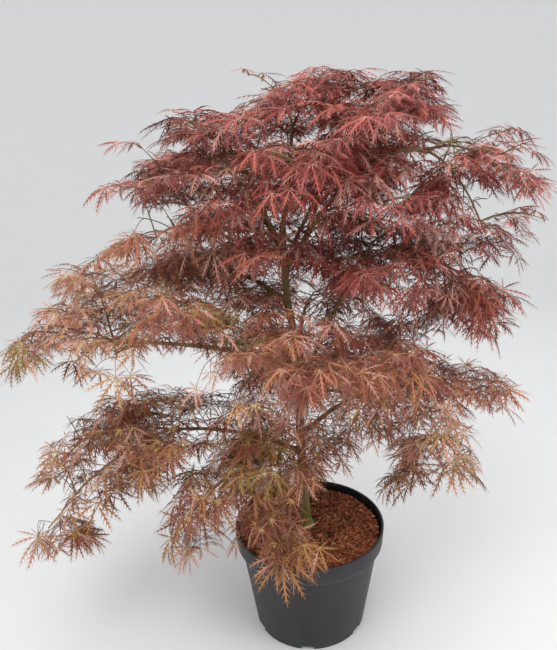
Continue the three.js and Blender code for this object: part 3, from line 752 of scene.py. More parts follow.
class Surface:
    """A patterned material on Object coordinates, put together a layer at a time."""

    def __init__(self, name):
        self.material = bpy.data.materials.new(name)
        self.material.use_nodes = True
        self.tree = self.material.node_tree
        self.shader = self.tree.nodes["Principled BSDF"]
        self.place = self.tree.nodes.new("ShaderNodeTexCoord").outputs["Object"]

    def feed(self, socket, value):
        """Gives an input what it takes: another node's output, a colour or a number."""
        if isinstance(value, bpy.types.NodeSocket):
            self.tree.links.new(value, socket)
        elif socket.type == "RGBA":
            socket.default_value = (*value, 1)
        else:
            socket.default_value = value

    def node(self, kind, **inputs):
        node = self.tree.nodes.new(kind)
        for name, value in inputs.items():
            self.feed(node.inputs[name], value)
        return node

    def stretched(self, scale):
        """Object coordinates, stretched so that a pattern is longer one way than another."""
        mapping = self.node("ShaderNodeMapping", Vector=self.place, Scale=scale)
        return mapping.outputs["Vector"]

    def noise(self, place, scale, detail=4, roughness=0.55):
        noise_node = self.node(
            "ShaderNodeTexNoise", Vector=place, Scale=scale, Detail=detail, Roughness=roughness
        )
        return noise_node.outputs["Fac"]

    def spots(self, place, scale):
        cells = self.node("ShaderNodeTexVoronoi", Vector=place, Scale=scale)
        return cells.outputs["Distance"]

    def height(self):
        return self.node("ShaderNodeSeparateXYZ", Vector=self.place).outputs["Z"]

    def ramp(self, factor, *stops):
        """Colours or greys by a factor; a stop is its place and its colour."""
        ramp = self.node("ShaderNodeValToRGB", Fac=factor)
        elements = ramp.color_ramp.elements
        while len(elements) < len(stops):
            elements.new(0.5)
        for element, (place, colour) in zip(elements, stops):
            element.position = place
            element.color = (*colour, 1)
        return ramp.outputs["Color"]

    def range(self, value, low, high, to_low, to_high):
        node = self.tree.nodes.new("ShaderNodeMapRange")
        self.tree.links.new(value, node.inputs["Value"])
        for name, number in zip(RANGE_SOCKETS, (low, high, to_low, to_high)):
            node.inputs[name].default_value = number
        return node.outputs["Result"]

    def mixed(self, factor, one, two):
        node = self.tree.nodes.new("ShaderNodeMix")
        node.data_type = "RGBA"
        for name, value in zip(("Factor_Float", "A_Color", "B_Color"), (factor, one, two)):
            self.feed(next(item for item in node.inputs if item.identifier == name), value)
        return next(item for item in node.outputs if item.identifier == "Result_Color")

    def summed(self, one, two, how="ADD"):
        node = self.tree.nodes.new("ShaderNodeMath")
        node.operation = how
        for socket, value in zip(node.inputs, (one, two)):
            self.feed(socket, value)
        return node.outputs["Value"]

    def colour(self, socket):
        self.tree.links.new(socket, self.shader.inputs["Base Color"])

    def roughness(self, socket):
        self.tree.links.new(socket, self.shader.inputs["Roughness"])

    def bump(self, height, depth, strength=1.0):
        bump = self.node("ShaderNodeBump", Height=height, Distance=depth, Strength=strength)
        self.tree.links.new(bump.outputs["Normal"], self.shader.inputs["Normal"])


# Settings


def length_setting(name, description, default, least):
    return bpy.props.FloatProperty(
        name=name, description=description, default=default, min=least, unit="LENGTH"
    )


def share_setting(name, description, default, least=0, most=1):
    return bpy.props.FloatProperty(
        name=name, description=description, default=default, min=least, max=most, subtype="FACTOR"
    )


def colour_setting(name, description, default):
    return bpy.props.FloatVectorProperty(
        name=name, description=description, default=default, min=0, max=1, subtype="COLOR"
    )


class PotSettings(bpy.types.PropertyGroup):
    """Sizes and finish of the nursery pot."""

    height: length_setting("Height", "From the ground to the top of the rim", POT_CORNER.z, 0.05)
    rim_radius: length_setting("Rim radius", "Outer radius of the rim band", POT_CORNER.x, 0.03)
    base_radius: length_setting("Base radius", "Outer radius at the ground", 0.0935, 0.02)
    band_height: length_setting("Rim band height", "Height of the wider band at the top", 0.03, 0.002)
    band_step: length_setting("Rim band step", "How far the band stands out", 0.0066, 0.0005)
    wall: length_setting("Wall", "Thickness of the plastic", 0.0024, 0.0005)
    colour: colour_setting("Colour", "Colour of the plastic", linear((23, 24, 27)))
    roughness: share_setting("Roughness", "How matt the plastic is where it is clean", 0.46)


class SoilSettings(bpy.types.PropertyGroup):
    """Size and colours of the bark compost."""

    chips: bpy.props.IntProperty(
        name="Chips",
        description="How many loose bits of bark lie on the compost",
        default=6000,
        min=0,
    )
    chip_length: length_setting("Chip length", "Length of the longest bits", 0.0072, 0.001)
    colour: colour_setting("Colour", "Main colour of the compost", linear((104, 65, 48)))
    hollow_colour: colour_setting("Hollow colour", "Colour between the bits", linear((50, 27, 18)))


class BarkSettings(bpy.types.PropertyGroup):
    """Relief and colours of the wood."""

    relief: length_setting("Relief", "Depth of the furrows in the bark", 0.00045, 0)
    foot_colour: colour_setting("Foot colour", "The trunk over the compost", linear((112, 118, 44)))
    trunk_colour: colour_setting("Trunk colour", "The trunk's middle", linear((134, 108, 78)))
    bough_colour: colour_setting("Bough colour", "The young wood", linear((134, 122, 68)))


class LeafSettings(bpy.types.PropertyGroup):
    """Size, finish and colours of the leaves."""

    palm: share_setting("Petiole share", "Part of a spray that the leaf's stalk takes", 0.42, 0.1, 0.8)
    bend: bpy.props.FloatProperty(
        name="Bend",
        description="How far a leaf's lobes curve downward along their length",
        default=math.radians(34),
        min=0,
        max=math.radians(120),
        subtype="ANGLE",
    )
    roughness: share_setting("Roughness", "How matt the leaves are", 0.5)
    rose: colour_setting("Rose", "Leaves of the crest", linear((160, 76, 68)))
    burgundy: colour_setting("Burgundy", "Leaves of the upper tiers", linear((152, 75, 65)))
    russet: colour_setting("Russet", "Leaves of the middle tiers", linear((182, 112, 90)))
    copper: colour_setting("Copper", "Leaves of the lower middle", linear((192, 134, 106)))
    bronze: colour_setting("Bronze", "Leaves of the lowest tier", linear((156, 96, 68)))


class StageSettings(bpy.types.PropertyGroup):
    """Floor, backdrop and lamps."""

    floor_radius: length_setting("Floor radius", "Where the floor begins to curve up", 2.0, 1.0)
    backdrop_height: length_setting("Backdrop height", "Height of the backdrop all round", 2.6, 1.0)
    colour: colour_setting("Colour", "Colour of floor and backdrop", (0.78, 0.785, 0.79))
    lamp_power: bpy.props.FloatProperty(
        name="Lamp power",
        description="Power of the main soft lamp, in watts",
        default=32.0,
        min=0,
    )
    sky_strength: bpy.props.FloatProperty(
        name="Ambient strength",
        description="Strength of the even light from all round",
        default=0.475,
        min=0,
    )


# Pot

BASE_DISC_RADIUS = 0.05
BASE_RECESS_RADIUS = 0.077
BASE_RECESS_DEPTH = 0.007
BASE_DRAFT = 0.002
RIM_EDGE = 0.001
RIM_ROUNDING = 0.0005
BAND_ROUNDING = 0.0008
NECK_ROUNDING = 0.0012
FOOT_ROUNDING = 0.0015
NOTCH_COUNT = 6
NOTCH_TURN = math.radians(25)
NOTCH_SIZE = (0.03, 0.022, 0.016)
NOTCH_ROUNDING = 0.0012
POT_STEPS = 144
POT_SHARP_ANGLE = math.radians(32)
SAME_PLACE = 1e-5
SAME_LEVEL = 1e-7

# Finish of the plastic: how much lighter its worn places are, how much lighter the band is painted for
# the light on its upright face, the painted shade under the band, the painted highlight on its lower
# edge, and what lies on it
WORN_TONE = (1.35, 0.004)
# Painted light: the band is made lighter for the light that its upright face catches
BAND_LIGHT_TONE = (1.7, 0.004)
# Painted shade under the band's step
BAND_SHADE_TONE = 0.4
# Painted highlight: the pale line where the band's rounded lower edge catches the light
EDGE_HIGHLIGHT_COLOUR = (88, 91, 96)
DUST_COLOUR = (104, 92, 80)
DUST_BY_HEIGHT = (0.0, 0.06, 0.26, 0.0)
DUST_PATCHES = (0.45, 0.75, 0.0, 1.0)
SCUFF_ROUGHNESS = 0.16
GRAIN_DEPTH = 0.00012

# Shares over heights from the band's lower edge, in metres: from, to, share there and share here. They
# place the painted light on the band, the painted shade under it and the painted highlight along its
# lower edge
BAND_LIGHT_SHARES = (-0.0004, 0.0004, 0.0, 0.6)
SHADE_RISE = (-0.005, -0.0006, 0.0, 0.5)
SHADE_FALL = (-0.0005, 0.0001, 1.0, 0.0)
HIGHLIGHT_RISE = (-0.0006, 0.0002, 0.0, 0.8)
HIGHLIGHT_FALL = (0.0006, 0.0018, 1.0, 0.0)


def pot_profile(size):
    """The pot's section, from the middle of its underside round to the middle of its floor."""
    foot = size.height - size.band_height
    neck = size.rim_radius - size.band_step - RIM_EDGE
    floor = BASE_RECESS_DEPTH + size.wall

    def inner(height):
        return blend(size.base_radius, neck, height / foot) - size.wall

    return [
        (0, 0),
        (BASE_DISC_RADIUS, 0),
        (BASE_DISC_RADIUS + BASE_DRAFT, BASE_RECESS_DEPTH),
        (BASE_RECESS_RADIUS - BASE_DRAFT, BASE_RECESS_DEPTH),
        (BASE_RECESS_RADIUS, 0),
        (size.base_radius, 0),
        (neck, foot),
        (size.rim_radius - RIM_EDGE, foot),
        (size.rim_radius, size.height - RIM_EDGE),
        (size.rim_radius - RIM_EDGE, size.height),
        (size.rim_radius - RIM_EDGE - size.wall, size.height),
        (inner(foot) + size.band_step, foot),
        (inner(foot - size.wall), foot - size.wall),
        (inner(floor), floor),
        (0, floor),
    ]


def spun_profile(profile, steps):
    """A profile turned once round the upright, with its poles closed."""
    bm = bmesh.new()
    verts = [bm.verts.new((radius, 0, height)) for radius, height in profile]
    for before, after in zip(verts, verts[1:]):
        bm.edges.new((before, after))
    bmesh.ops.spin(
        bm,
        geom=[*bm.verts, *bm.edges],
        cent=(0, 0, 0),
        axis=(0, 0, 1),
        angle=2 * math.pi,
        steps=steps,
        use_merge=True,
    )
    bmesh.ops.remove_doubles(bm, verts=bm.verts, dist=MERGE_DISTANCE)
    bmesh.ops.recalc_face_normals(bm, faces=bm.faces)
    return bm


def rounded(bm, edges, width, segments):
    """Rounds the given edges."""
    bmesh.ops.bevel(
        bm,
        geom=edges,
        offset=width,
        segments=segments,
        profile=0.5,
        affect="EDGES",
        material=-1,
    )


def rounded_loops(bm, corners, width, segments):
    """Rounds the loops of edges at the given radii and heights."""

    def is_corner(vert):
        radius = math.hypot(vert.co.x, vert.co.y)
        return any(math.hypot(radius - r, vert.co.z - z) < SAME_PLACE for r, z in corners)

    edges = [
        edge
        for edge in bm.edges
        if all(is_corner(vert) for vert in edge.verts)
        and abs(edge.verts[0].co.z - edge.verts[1].co.z) < SAME_LEVEL
        and abs(edge.verts[0].co.to_2d().length - edge.verts[1].co.to_2d().length) < SAME_LEVEL
    ]
    rounded(bm, edges, width, segments)


def cut_from(piece, cutter):
    """Cuts one object out of another and drops the cutter."""
    modifier = piece.modifiers.new("cut", "BOOLEAN")
    modifier.operation = "DIFFERENCE"
    modifier.solver = "EXACT"
    modifier.object = cutter
    depsgraph = bpy.context.evaluated_depsgraph_get()
    mesh = bpy.data.meshes.new_from_object(piece.evaluated_get(depsgraph))
    piece.modifiers.clear()
    piece.data = mesh
    bpy.data.objects.remove(cutter)


def notch_cutter(size):
    """Boxes that open the drain notches round the foot."""
    bm = bmesh.new()
    middle = (BASE_RECESS_RADIUS + size.base_radius) / 2
    for i in range(NOTCH_COUNT):
        turn = Matrix.Rotation(i / NOTCH_COUNT * 2 * math.pi + NOTCH_TURN, 4, "Z")
        move = Matrix.Translation((middle, 0, 0))
        stretch = Matrix.Diagonal((*NOTCH_SIZE, 1))
        box = bmesh.ops.create_cube(bm, size=1, matrix=turn @ move @ stretch)
        sides = {edge for vert in box["verts"] for edge in vert.link_edges}
        rounded(bm, list(sides), NOTCH_ROUNDING, 3)
    return scene_piece("notches", mesh_from(bm, "notches"))


def pot_surface(size):
    """Dark moulded plastic with a fine grain, faint scuffs, and dust near its foot, with light and
    shade painted round the rim band: the band painted lighter, painted shade under it and a painted
    highlight along its lower edge.
    """
    surface = Surface("pot_plastic")
    height = surface.height()
    foot = size.height - size.band_height

    def share_from_band(low, high, to_low, to_high):
        return surface.range(height, foot + low, foot + high, to_low, to_high)

    def share_between(rise, fall):
        return surface.summed(share_from_band(*rise), share_from_band(*fall), "MULTIPLY")

    scuffs = surface.noise(surface.stretched((9, 9, 60)), scale=6, detail=5)
    worn = toned(size.colour, *WORN_TONE)
    colour = surface.ramp(scuffs, (0.35, size.colour), (0.72, worn))
    # The band painted lighter, for the light on its upright face
    colour = surface.mixed(share_from_band(*BAND_LIGHT_SHARES), colour, toned(size.colour, *BAND_LIGHT_TONE))
    # Painted shade under the band's step
    shade = share_between(SHADE_RISE, SHADE_FALL)
    colour = surface.mixed(shade, colour, toned(size.colour, BAND_SHADE_TONE))
    # Painted highlight along the band's lower edge
    edge = share_between(HIGHLIGHT_RISE, HIGHLIGHT_FALL)
    colour = surface.mixed(edge, colour, linear(EDGE_HIGHLIGHT_COLOUR))
    dusty = surface.noise(surface.place, scale=55, detail=6, roughness=0.7)
    patches = surface.range(dusty, *DUST_PATCHES)
    dust = surface.summed(patches, surface.range(height, *DUST_BY_HEIGHT), "MULTIPLY")
    surface.colour(surface.mixed(dust, colour, linear(DUST_COLOUR)))
    scuffed = size.roughness + SCUFF_ROUGHNESS
    surface.roughness(surface.range(scuffs, 0.3, 0.75, size.roughness, scuffed))
    grain = surface.noise(surface.place, scale=1500, detail=2)
    ripple = surface.noise(surface.stretched((1, 1, 0.25)), scale=60, detail=2)
    relief = surface.summed(surface.summed(ripple, 2.0, "MULTIPLY"), grain)
    surface.bump(relief, GRAIN_DEPTH, 0.6)
    return surface.material


class MAPLE_OT_pot(bpy.types.Operator):
    """Turn the nursery pot, round its edges and cut its drain notches"""

    bl_idname = "maple.pot"
    bl_label = "Pot"

    def execute(self, context):
        size = context.scene.maple_pot
        bm = spun_profile(pot_profile(size), POT_STEPS)
        rim = size.rim_radius
        foot = size.height - size.band_height
        rim_corners = [(rim, size.height - RIM_EDGE), (rim - RIM_EDGE, size.height)]
        rounded_loops(bm, rim_corners, RIM_ROUNDING, 2)
        rounded_loops(bm, [(rim - RIM_EDGE, foot)], BAND_ROUNDING, 2)
        rounded_loops(bm, [(rim - size.band_step - RIM_EDGE, foot)], NECK_ROUNDING, 3)
        rounded_loops(bm, [(size.base_radius, 0)], FOOT_ROUNDING, 3)
        pot = scene_piece("pot_shell", mesh_from(bm, "pot_shell"))
        cut_from(pot, notch_cutter(size))
        pot.data.materials.clear()
        pot.data.materials.append(pot_surface(size))
        pot.data.set_sharp_from_angle(angle=POT_SHARP_ANGLE)
        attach(pot, "root")
        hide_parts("pot")
        return {"FINISHED"}


# Soil

SOIL_RINGS = 44
SOIL_STEPS = 160
SOIL_EDGE = 0.1136
SOIL_DEPTH = 0.165
SOIL_FLOOR_RADIUS = 0.0862
SOIL_SINK = 0.8
SOIL_ROUGHNESS = 0.95
CRUMB_DEPTH = 0.0012

# Relief of the compost, in millimetres
SOIL_BANK = 5
BANK_FROM_CENTRE = (45, 104)
HUMP_LIFT = 1.8
HUMP_SINK = 0.4
HUMP_WAVES_ALONG_X = (0.071, 1.3)
HUMP_WAVES_ALONG_Y = (0.063, -0.6)
SLANTED_WAVES = 0.12
SLANTED_SHARE = 0.5
HUMPS_FROM_TRUNK = (40, 64)
LUMP_LIFT = 1.1
LUMP_SCALE = 0.11
LUMP_LAYERS = (1.0, 2.0, 3)
HOLLOW_PLACE = (30, -18)
HOLLOW_EDGES = (2, 14)
HOLLOW_DEPTH = 11

# Loose bits of bark: their colours, each with the running share of bits that have it or one before
CHIP_SEED = 211
CHIP_TINTS = (
    ((166, 102, 68), 0.22),
    ((152, 88, 56), 0.5),
    ((132, 71, 43), 0.7),
    ((106, 56, 33), 0.84),
    ((186, 128, 92), 0.92),
    ((68, 37, 23), 1),
)
CHIP_SHAPES = 6
CHIP_UNEVENNESS = 0.2
CHIP_FINISH = (0.9, 0.25)
CHIP_MARGIN = 2
SHORTEST_CHIP = 0.28
SHORT_CHIPS = 1.6
CHIP_WIDTH = (0.3, 0.7)
CHIP_THICKNESS = (0.14, 0.34)
CHIP_LEAN = 0.5
STEEP_LEAN = 1.1
LEVEL_CHIPS = 0.8
CHIP_HEIGHT = (-0.4, 1.9)


def smoothstep(value, low, high):
    part = min(max((value - low) / (high - low), 0), 1)
    return part * part * (3 - 2 * part)


def soil_height(x, y):
    """Height of the compost in millimetres: level at the trunk and banked up to the rim."""
    away = smoothstep(math.hypot(x - TRUNK_LEAN_X[0], y - TRUNK_LEAN_Y[0]), *HUMPS_FROM_TRUNK)
    bank = smoothstep(math.hypot(x, y), *BANK_FROM_CENTRE)
    spacing_x, start_x = HUMP_WAVES_ALONG_X
    spacing_y, start_y = HUMP_WAVES_ALONG_Y
    humps = math.sin(x * spacing_x + start_x) * math.cos(y * spacing_y + start_y)
    humps += SLANTED_SHARE * math.sin((x - y) * SLANTED_WAVES)
    height = SOIL_TOP - GAP + away * HUMP_LIFT * (humps - HUMP_SINK) + bank * SOIL_BANK
    far = math.hypot(x - HOLLOW_PLACE[0], y - HOLLOW_PLACE[1])
    hollow = HOLLOW_DEPTH * (1 - smoothstep(far, *HOLLOW_EDGES))
    lumps = noise.fractal(Vector((x * LUMP_SCALE, y * LUMP_SCALE, 0)), *LUMP_LAYERS)
    return height - hollow + lumps * LUMP_LIFT - SOIL_SINK


def soil_surface(size):
    """Dark damp compost between the loose bits."""
    surface = Surface("soil_base")
    crumbs = surface.noise(surface.place, scale=260, detail=8, roughness=0.7)
    colour = surface.ramp(crumbs, (0.3, size.hollow_colour), (0.62, size.colour))
    surface.colour(colour)
    surface.shader.inputs["Roughness"].default_value = SOIL_ROUGHNESS
    surface.bump(crumbs, CRUMB_DEPTH)
    return surface.material


def chip_patterns(random):
    """Rough bits of bark, each an uneven box of twelve triangles."""
    patterns = []
    for _ in range(CHIP_SHAPES):
        bm = bmesh.new()
        bmesh.ops.create_cube(bm, size=1)
        for vert in bm.verts:
            vert.co += Vector([vary(random, CHIP_UNEVENNESS) for _ in range(3)])
        bmesh.ops.recalc_face_normals(bm, faces=bm.faces)
        patterns.append(triangles_of(bm))
    return patterns


def turn_matrix(yaw, pitch, roll):
    """Turns about Z, then Y, then X, as a grid of numbers."""
    turns = [Matrix.Rotation(angle, 3, axis) for angle, axis in zip((yaw, pitch, roll), "ZYX")]
    return np.array(turns[0] @ turns[1] @ turns[2])


def loose_chips(size):
    """Bits of bark strewn over the compost."""
    random = seeded_numbers(CHIP_SEED)
    patterns = chip_patterns(random)
    edge = SOIL_EDGE / MM - CHIP_MARGIN
    copies = []
    tints = []
    while len(copies) < size.chips:
        reach = edge * math.sqrt(random())
        turn = 2 * math.pi * random()
        x, y = reach * math.cos(turn), reach * math.sin(turn)
        length = size.chip_length / MM * blend(SHORTEST_CHIP, 1, random() ** SHORT_CHIPS)
        width = length * blend(*CHIP_WIDTH, random())
        thickness = length * blend(*CHIP_THICKNESS, random())
        lean = CHIP_LEAN if random() < LEVEL_CHIPS else STEEP_LEAN
        matrix = turn_matrix(2 * math.pi * random(), vary(random, lean), vary(random, lean))
        vertices, faces = patterns[len(copies) % len(patterns)]
        height = soil_height(x, y) + blend(*CHIP_HEIGHT, random())
        laid = (vertices * (length, width, thickness)) @ matrix.T + (x, y, height)
        copies.append((laid, faces))
        pick = random()
        tints.append(next(i for i, (_, share) in enumerate(CHIP_TINTS) if pick <= share))
    return copies, tints


class MAPLE_OT_soil(bpy.types.Operator):
    """Fill the pot with compost and strew bits of bark over it"""

    bl_idname = "maple.soil"
    bl_label = "Soil"

    def execute(self, context):
        size = context.scene.maple_soil
        top = SOIL_TOP * MM
        rings = [(SOIL_EDGE * i / SOIL_RINGS, top) for i in range(SOIL_RINGS + 1)]
        low = top - SOIL_DEPTH
        bm = spun_profile([*rings, (SOIL_FLOOR_RADIUS, low), (0, low)], SOIL_STEPS)
        for vert in bm.verts:
            if vert.co.z > top - SAME_PLACE:
                vert.co.z = soil_height(vert.co.x / MM, vert.co.y / MM) * MM
        soil = scene_piece("soil_bed", mesh_from(bm, "soil_bed"), soil_surface(size))
        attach(soil, "root")
        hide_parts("soil")
        mesh = mesh_from_copies("soil_chips", *loose_chips(size))
        stains = tint_materials("chip", [linear(tint) for tint, _ in CHIP_TINTS], *CHIP_FINISH)
        chips = scene_piece("soil_chips", mesh, *stains)
        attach(chips, "root")
        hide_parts("soil")
        return {"FINISHED"}


# Bark

TRUNK_RINGS = 330
TRUNK_RING_SIDES = 60
TRUNK_SINK = 4
TRUNK_END = (0.9, 0.7, 0.3)
BOUGH_RING_SIDES = 22
BOUGH_RING_SPACING = 2.6
FEWEST_BOUGH_RINGS = 12
BOUGH_FULLNESS = 0.92
BOUGH_END = (0.86, 0.45)
NODE_SPACING = 37
NODE_OFFSET = 9.7
NODE_LIFT = 0.42
NODE_LENGTH = 1.7
TRUNK_NODE_SPACING = 43
TRUNK_NODE_OFFSET = 11
TRUNK_NODE_GAIN = 1.3
COLLAR_SWELL = 0.55
COLLAR_LENGTH = 6.5
TRUNK_WAVES = (30, 30, 26)
TRUNK_WAVE_LIFT = 0.7

# Furrows: how many a metre across the wood, broad and fine, their depths, and along trunk and boughs
BROAD_FURROWS = 170
FINE_FURROWS = 620
FINE_STRETCH = 3.5
BROAD_DEPTH = 0.75
FINE_DEPTH = 0.4
TRUNK_STRETCH = 24
BOUGH_STRETCH = 60
BOUGH_BARK_DEPTH = 0.5

# Knots where boughs once grew: part of the trunk's length, side, height and width in millimetres
KNOT_SHARPNESS = 10
KNOTS = (
    (0.1, 200, 2.6, 5.5),
    (0.215, -60, 2.0, 4.5),
    (0.27, 20, 2.2, 5.0),
    (0.39, 250, 1.9, 4.2),
    (0.52, 120, 1.7, 4.0),
    (0.575, -95, 1.6, 3.6),
    (0.76, -40, 1.5, 3.4),
    (0.84, 215, 1.3, 3.2),
)

# Heights in metres between which each bark turns from brown to olive, and the damp foot ends
TRUNK_GREEN = (0.5, 0.58)
BOUGH_GREEN = (0.2, 0.42)
DAMP_FOOT = (0.205, 0.245, 1.0, 0.0)
PATCH_RISE = 0.045
PORE_COLOUR = (172, 156, 124)
PORE_SHARES = (0.1, 0.22, 0.55, 0.0)
BARK_ROUGHNESS = (0.55, 0.78)
STREAK_DEPTH = 0.0005


def bark_lift(position, stretch, depth):
    """Furrows that run along the wood, in millimetres."""
    x, y, z = position
    broad = noise.noise(Vector((x * BROAD_FURROWS, y * BROAD_FURROWS, z * stretch)))
    fine = noise.noise(Vector((x * FINE_FURROWS, y * FINE_FURROWS, z * stretch * FINE_STRETCH)))
    return depth * (broad * BROAD_DEPTH + fine * FINE_DEPTH)


def node_lift(along, spacing, offset):
    """A low ring where each pair of shoots once grew."""
    away = (along + offset) % spacing
    away = min(away, spacing - away)
    return NODE_LIFT * math.exp(-((away / NODE_LENGTH) ** 2))


def trunk_relief(depth):
    length = TRUNK_TOP - SOIL_TOP

    def relief(position, out, along):
        lift = bark_lift(position, TRUNK_STRETCH, depth)
        lift += node_lift(along, TRUNK_NODE_SPACING, TRUNK_NODE_OFFSET) * TRUNK_NODE_GAIN
        lift += noise.noise(position * Vector(TRUNK_WAVES)) * TRUNK_WAVE_LIFT
        for part, turn, height, width in KNOTS:
            facing = max(0.0, out.to_2d() @ Vector(heading(turn)[:2]))
            away = (along - part * length) / width
            lift += height * math.exp(-away * away) * facing**KNOT_SHARPNESS
        return lift

    return relief


def bough_relief(depth, offset):
    def relief(position, out, along):
        furrows = bark_lift(position, BOUGH_STRETCH, depth * BOUGH_BARK_DEPTH)
        return furrows + node_lift(along, NODE_SPACING, offset)

    return relief


def streaked(surface, streaks, colour, *stops):
    """A colour that the streaks darken and lighten; a stop is its place and its tone."""
    return surface.ramp(streaks, *((place, toned(colour, tone)) for place, tone in stops))


def bark_surface(name, size, green):
    """Bark by height: green at the foot, brown above, and olive where the wood is young."""
    surface = Surface(name)
    streaks = surface.noise(surface.stretched((1, 1, 0.12)), scale=420, detail=5, roughness=0.6)
    patches = surface.noise(surface.stretched((1, 1, 0.5)), scale=42)
    brown = streaked(surface, streaks, size.trunk_colour, (0.3, 0.55), (0.55, 1), (0.78, 1.5))
    olive = streaked(surface, streaks, size.bough_colour, (0.28, 0.6), (0.55, 1), (0.8, 1.35))
    foot = streaked(surface, streaks, size.foot_colour, (0.3, 0.5), (0.6, 1))
    ragged = surface.range(patches, 0.3, 0.7, -PATCH_RISE, PATCH_RISE)
    uneven = surface.summed(surface.height(), ragged)
    colour = surface.mixed(surface.range(uneven, *green, 0.0, 1.0), brown, olive)
    colour = surface.mixed(surface.range(uneven, *DAMP_FOOT), colour, foot)
    pores = surface.spots(surface.stretched((1, 1, 0.45)), 330)
    dots = surface.range(pores, *PORE_SHARES)
    surface.colour(surface.mixed(dots, colour, linear(PORE_COLOUR)))
    surface.roughness(surface.range(streaks, 0.3, 0.7, *BARK_ROUGHNESS))
    relief = surface.summed(streaks, surface.summed(dots, 0.4, "MULTIPLY"))
    surface.bump(relief, STREAK_DEPTH, 0.8)
    return surface.material


def bough_tube(limb, limbs, index, depth):
    """One bough from inside what it grows on to its tip, with a collar and a rounded end."""
    length = path_length(limb.points)
    parts = np.linspace(0, 1, max(FEWEST_BOUGH_RINGS, round(length / BOUGH_RING_SPACING)))
    points = np.array([limb.point_at(part) for part in parts])
    parent = limbs[limb.on].radius_at(limb.at)
    beyond = np.maximum(0, parts * length - parent)
    collars = 1 + COLLAR_SWELL * np.exp(-beyond / COLLAR_LENGTH)
    radii = np.array([limb.radius_at(part) for part in parts]) * BOUGH_FULLNESS * collars
    radii[-2:] *= BOUGH_END
    bm = swept_tube(points, radii, BOUGH_RING_SIDES, bough_relief(depth, NODE_OFFSET * index))
    return mesh_from(bm, limb.name)


class MAPLE_OT_trunk(bpy.types.Operator):
    """Grow the trunk with its bark, knots and root flare"""

    bl_idname = "maple.trunk"
    bl_label = "Trunk"

    def execute(self, context):
        size = context.scene.maple_bark
        parts = np.linspace(0, 1, TRUNK_RINGS)
        points = np.array([trunk_point(part) for part in parts])
        points[0][2] -= TRUNK_SINK
        radii = np.array([trunk_radius(part) for part in parts])
        radii[-3:] *= TRUNK_END
        bm = swept_tube(points, radii, TRUNK_RING_SIDES, trunk_relief(size.relief / MM))
        bark = bark_surface("trunk_bark", size, TRUNK_GREEN)
        trunk = scene_piece("trunk_bark", mesh_from(bm, "trunk_bark"), bark)
        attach(trunk, "root")
        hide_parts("trunk")
        return {"FINISHED"}


class MAPLE_OT_boughs(bpy.types.Operator):
    """Grow the boughs out of the trunk, joined into one piece"""

    bl_idname = "maple.boughs"
    bl_label = "Boughs"

    def execute(self, context):
        size = context.scene.maple_bark
        limbs, _ = grown_tree()
        joined = bmesh.new()
        for index, limb in enumerate(limbs.values()):
            if limb.name != "trunk":
                mesh = bough_tube(limb, limbs, index, size.relief / MM)
                joined.from_mesh(mesh)
                bpy.data.meshes.remove(mesh)
        bark = bark_surface("bough_bark", size, BOUGH_GREEN)
        boughs = scene_piece("bough_bark", mesh_from(joined, "bough_bark"), bark)
        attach(boughs, "root")
        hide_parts(*LIMBS)
        return {"FINISHED"}


# Sprays: the twigs and leaves that stand for the part's large leaves, and the finer side shoots

LEAF_PATTERNS = 9
LOBE_TURNS = {9: (-132, -100, -66, -33, 0, 33, 66, 100, 132), 7: (-118, -78, -39, 0, 39, 78, 118)}
LOBE_LENGTHS = {
    9: (0.36, 0.6, 0.82, 0.95, 1, 0.95, 0.82, 0.6, 0.36),
    7: (0.44, 0.74, 0.93, 1, 0.93, 0.74, 0.44),
}
BLADE_ROOT_WIDTH = 0.01
BLADE_STATIONS = (0.2, 0.35, 0.5, 0.64, 0.78)
BLADE_WIDTHS = (0.019, 0.025, 0.024, 0.02, 0.014)
TOOTH_LENGTHS = (0.17, 0.21, 0.2, 0.17, 0.13)
TOOTH_ANGLE = 31
TOOTH_DIP = 0.22
VEIN_REACH = 0.27
PATTERN_SEED = 97
LOBE_HEADING_VARIES = 6
LOBE_TILT_VARIES = 0.14
LOBE_ROLL_VARIES = 0.5
LOBE_LENGTH_VARIES = 0.07
LOBE_CURVE_VARIES = 0.14
LEAST_REACH = 1e-6
TWIG_SIDES = 4
TWIG_STATIONS = 6
STALK_SIDES = 3
STALK_STATIONS = 4
STEM_SIDES = 8
STEM_STATIONS = 18
STEM_INSET = 5
STEM_END_RADIUS = 0.95
TWIG_END_RADIUS = 0.5
STALK_RADII = (0.575, 0.368)
STALK_BOW = 0.12
MOST_BOW = 4
LEAST_BOW = 0.6
BEND_VARIES = 0.35
ROLL_VARIES = 0.4
LEAF_SIZE_VARIES = 0.05

# The spray that each large leaf of the part stands for
SPRAY_SEEDS = 1000
PAIR_PLACES = (1, 0.8, 0.6, 0.4)
SPRAY_TWIG_FULLNESS = 0.6
SPRAY_TWIG_BOW = 0.07
SPRAY_LEAF_VARIES = 0.16
SPRAY_LEAF_RISE = 0.16
SPRAY_TIP_RISE = 0.4
SPRAY_TIP_SWAY = (6, 6, 5)
LONGEST_LEAF = 54
HANGING_MASSES = {"front_hanging", "front_left_low"}
HANGING_LEAF = {"palm": 0.24, "longest": 82}

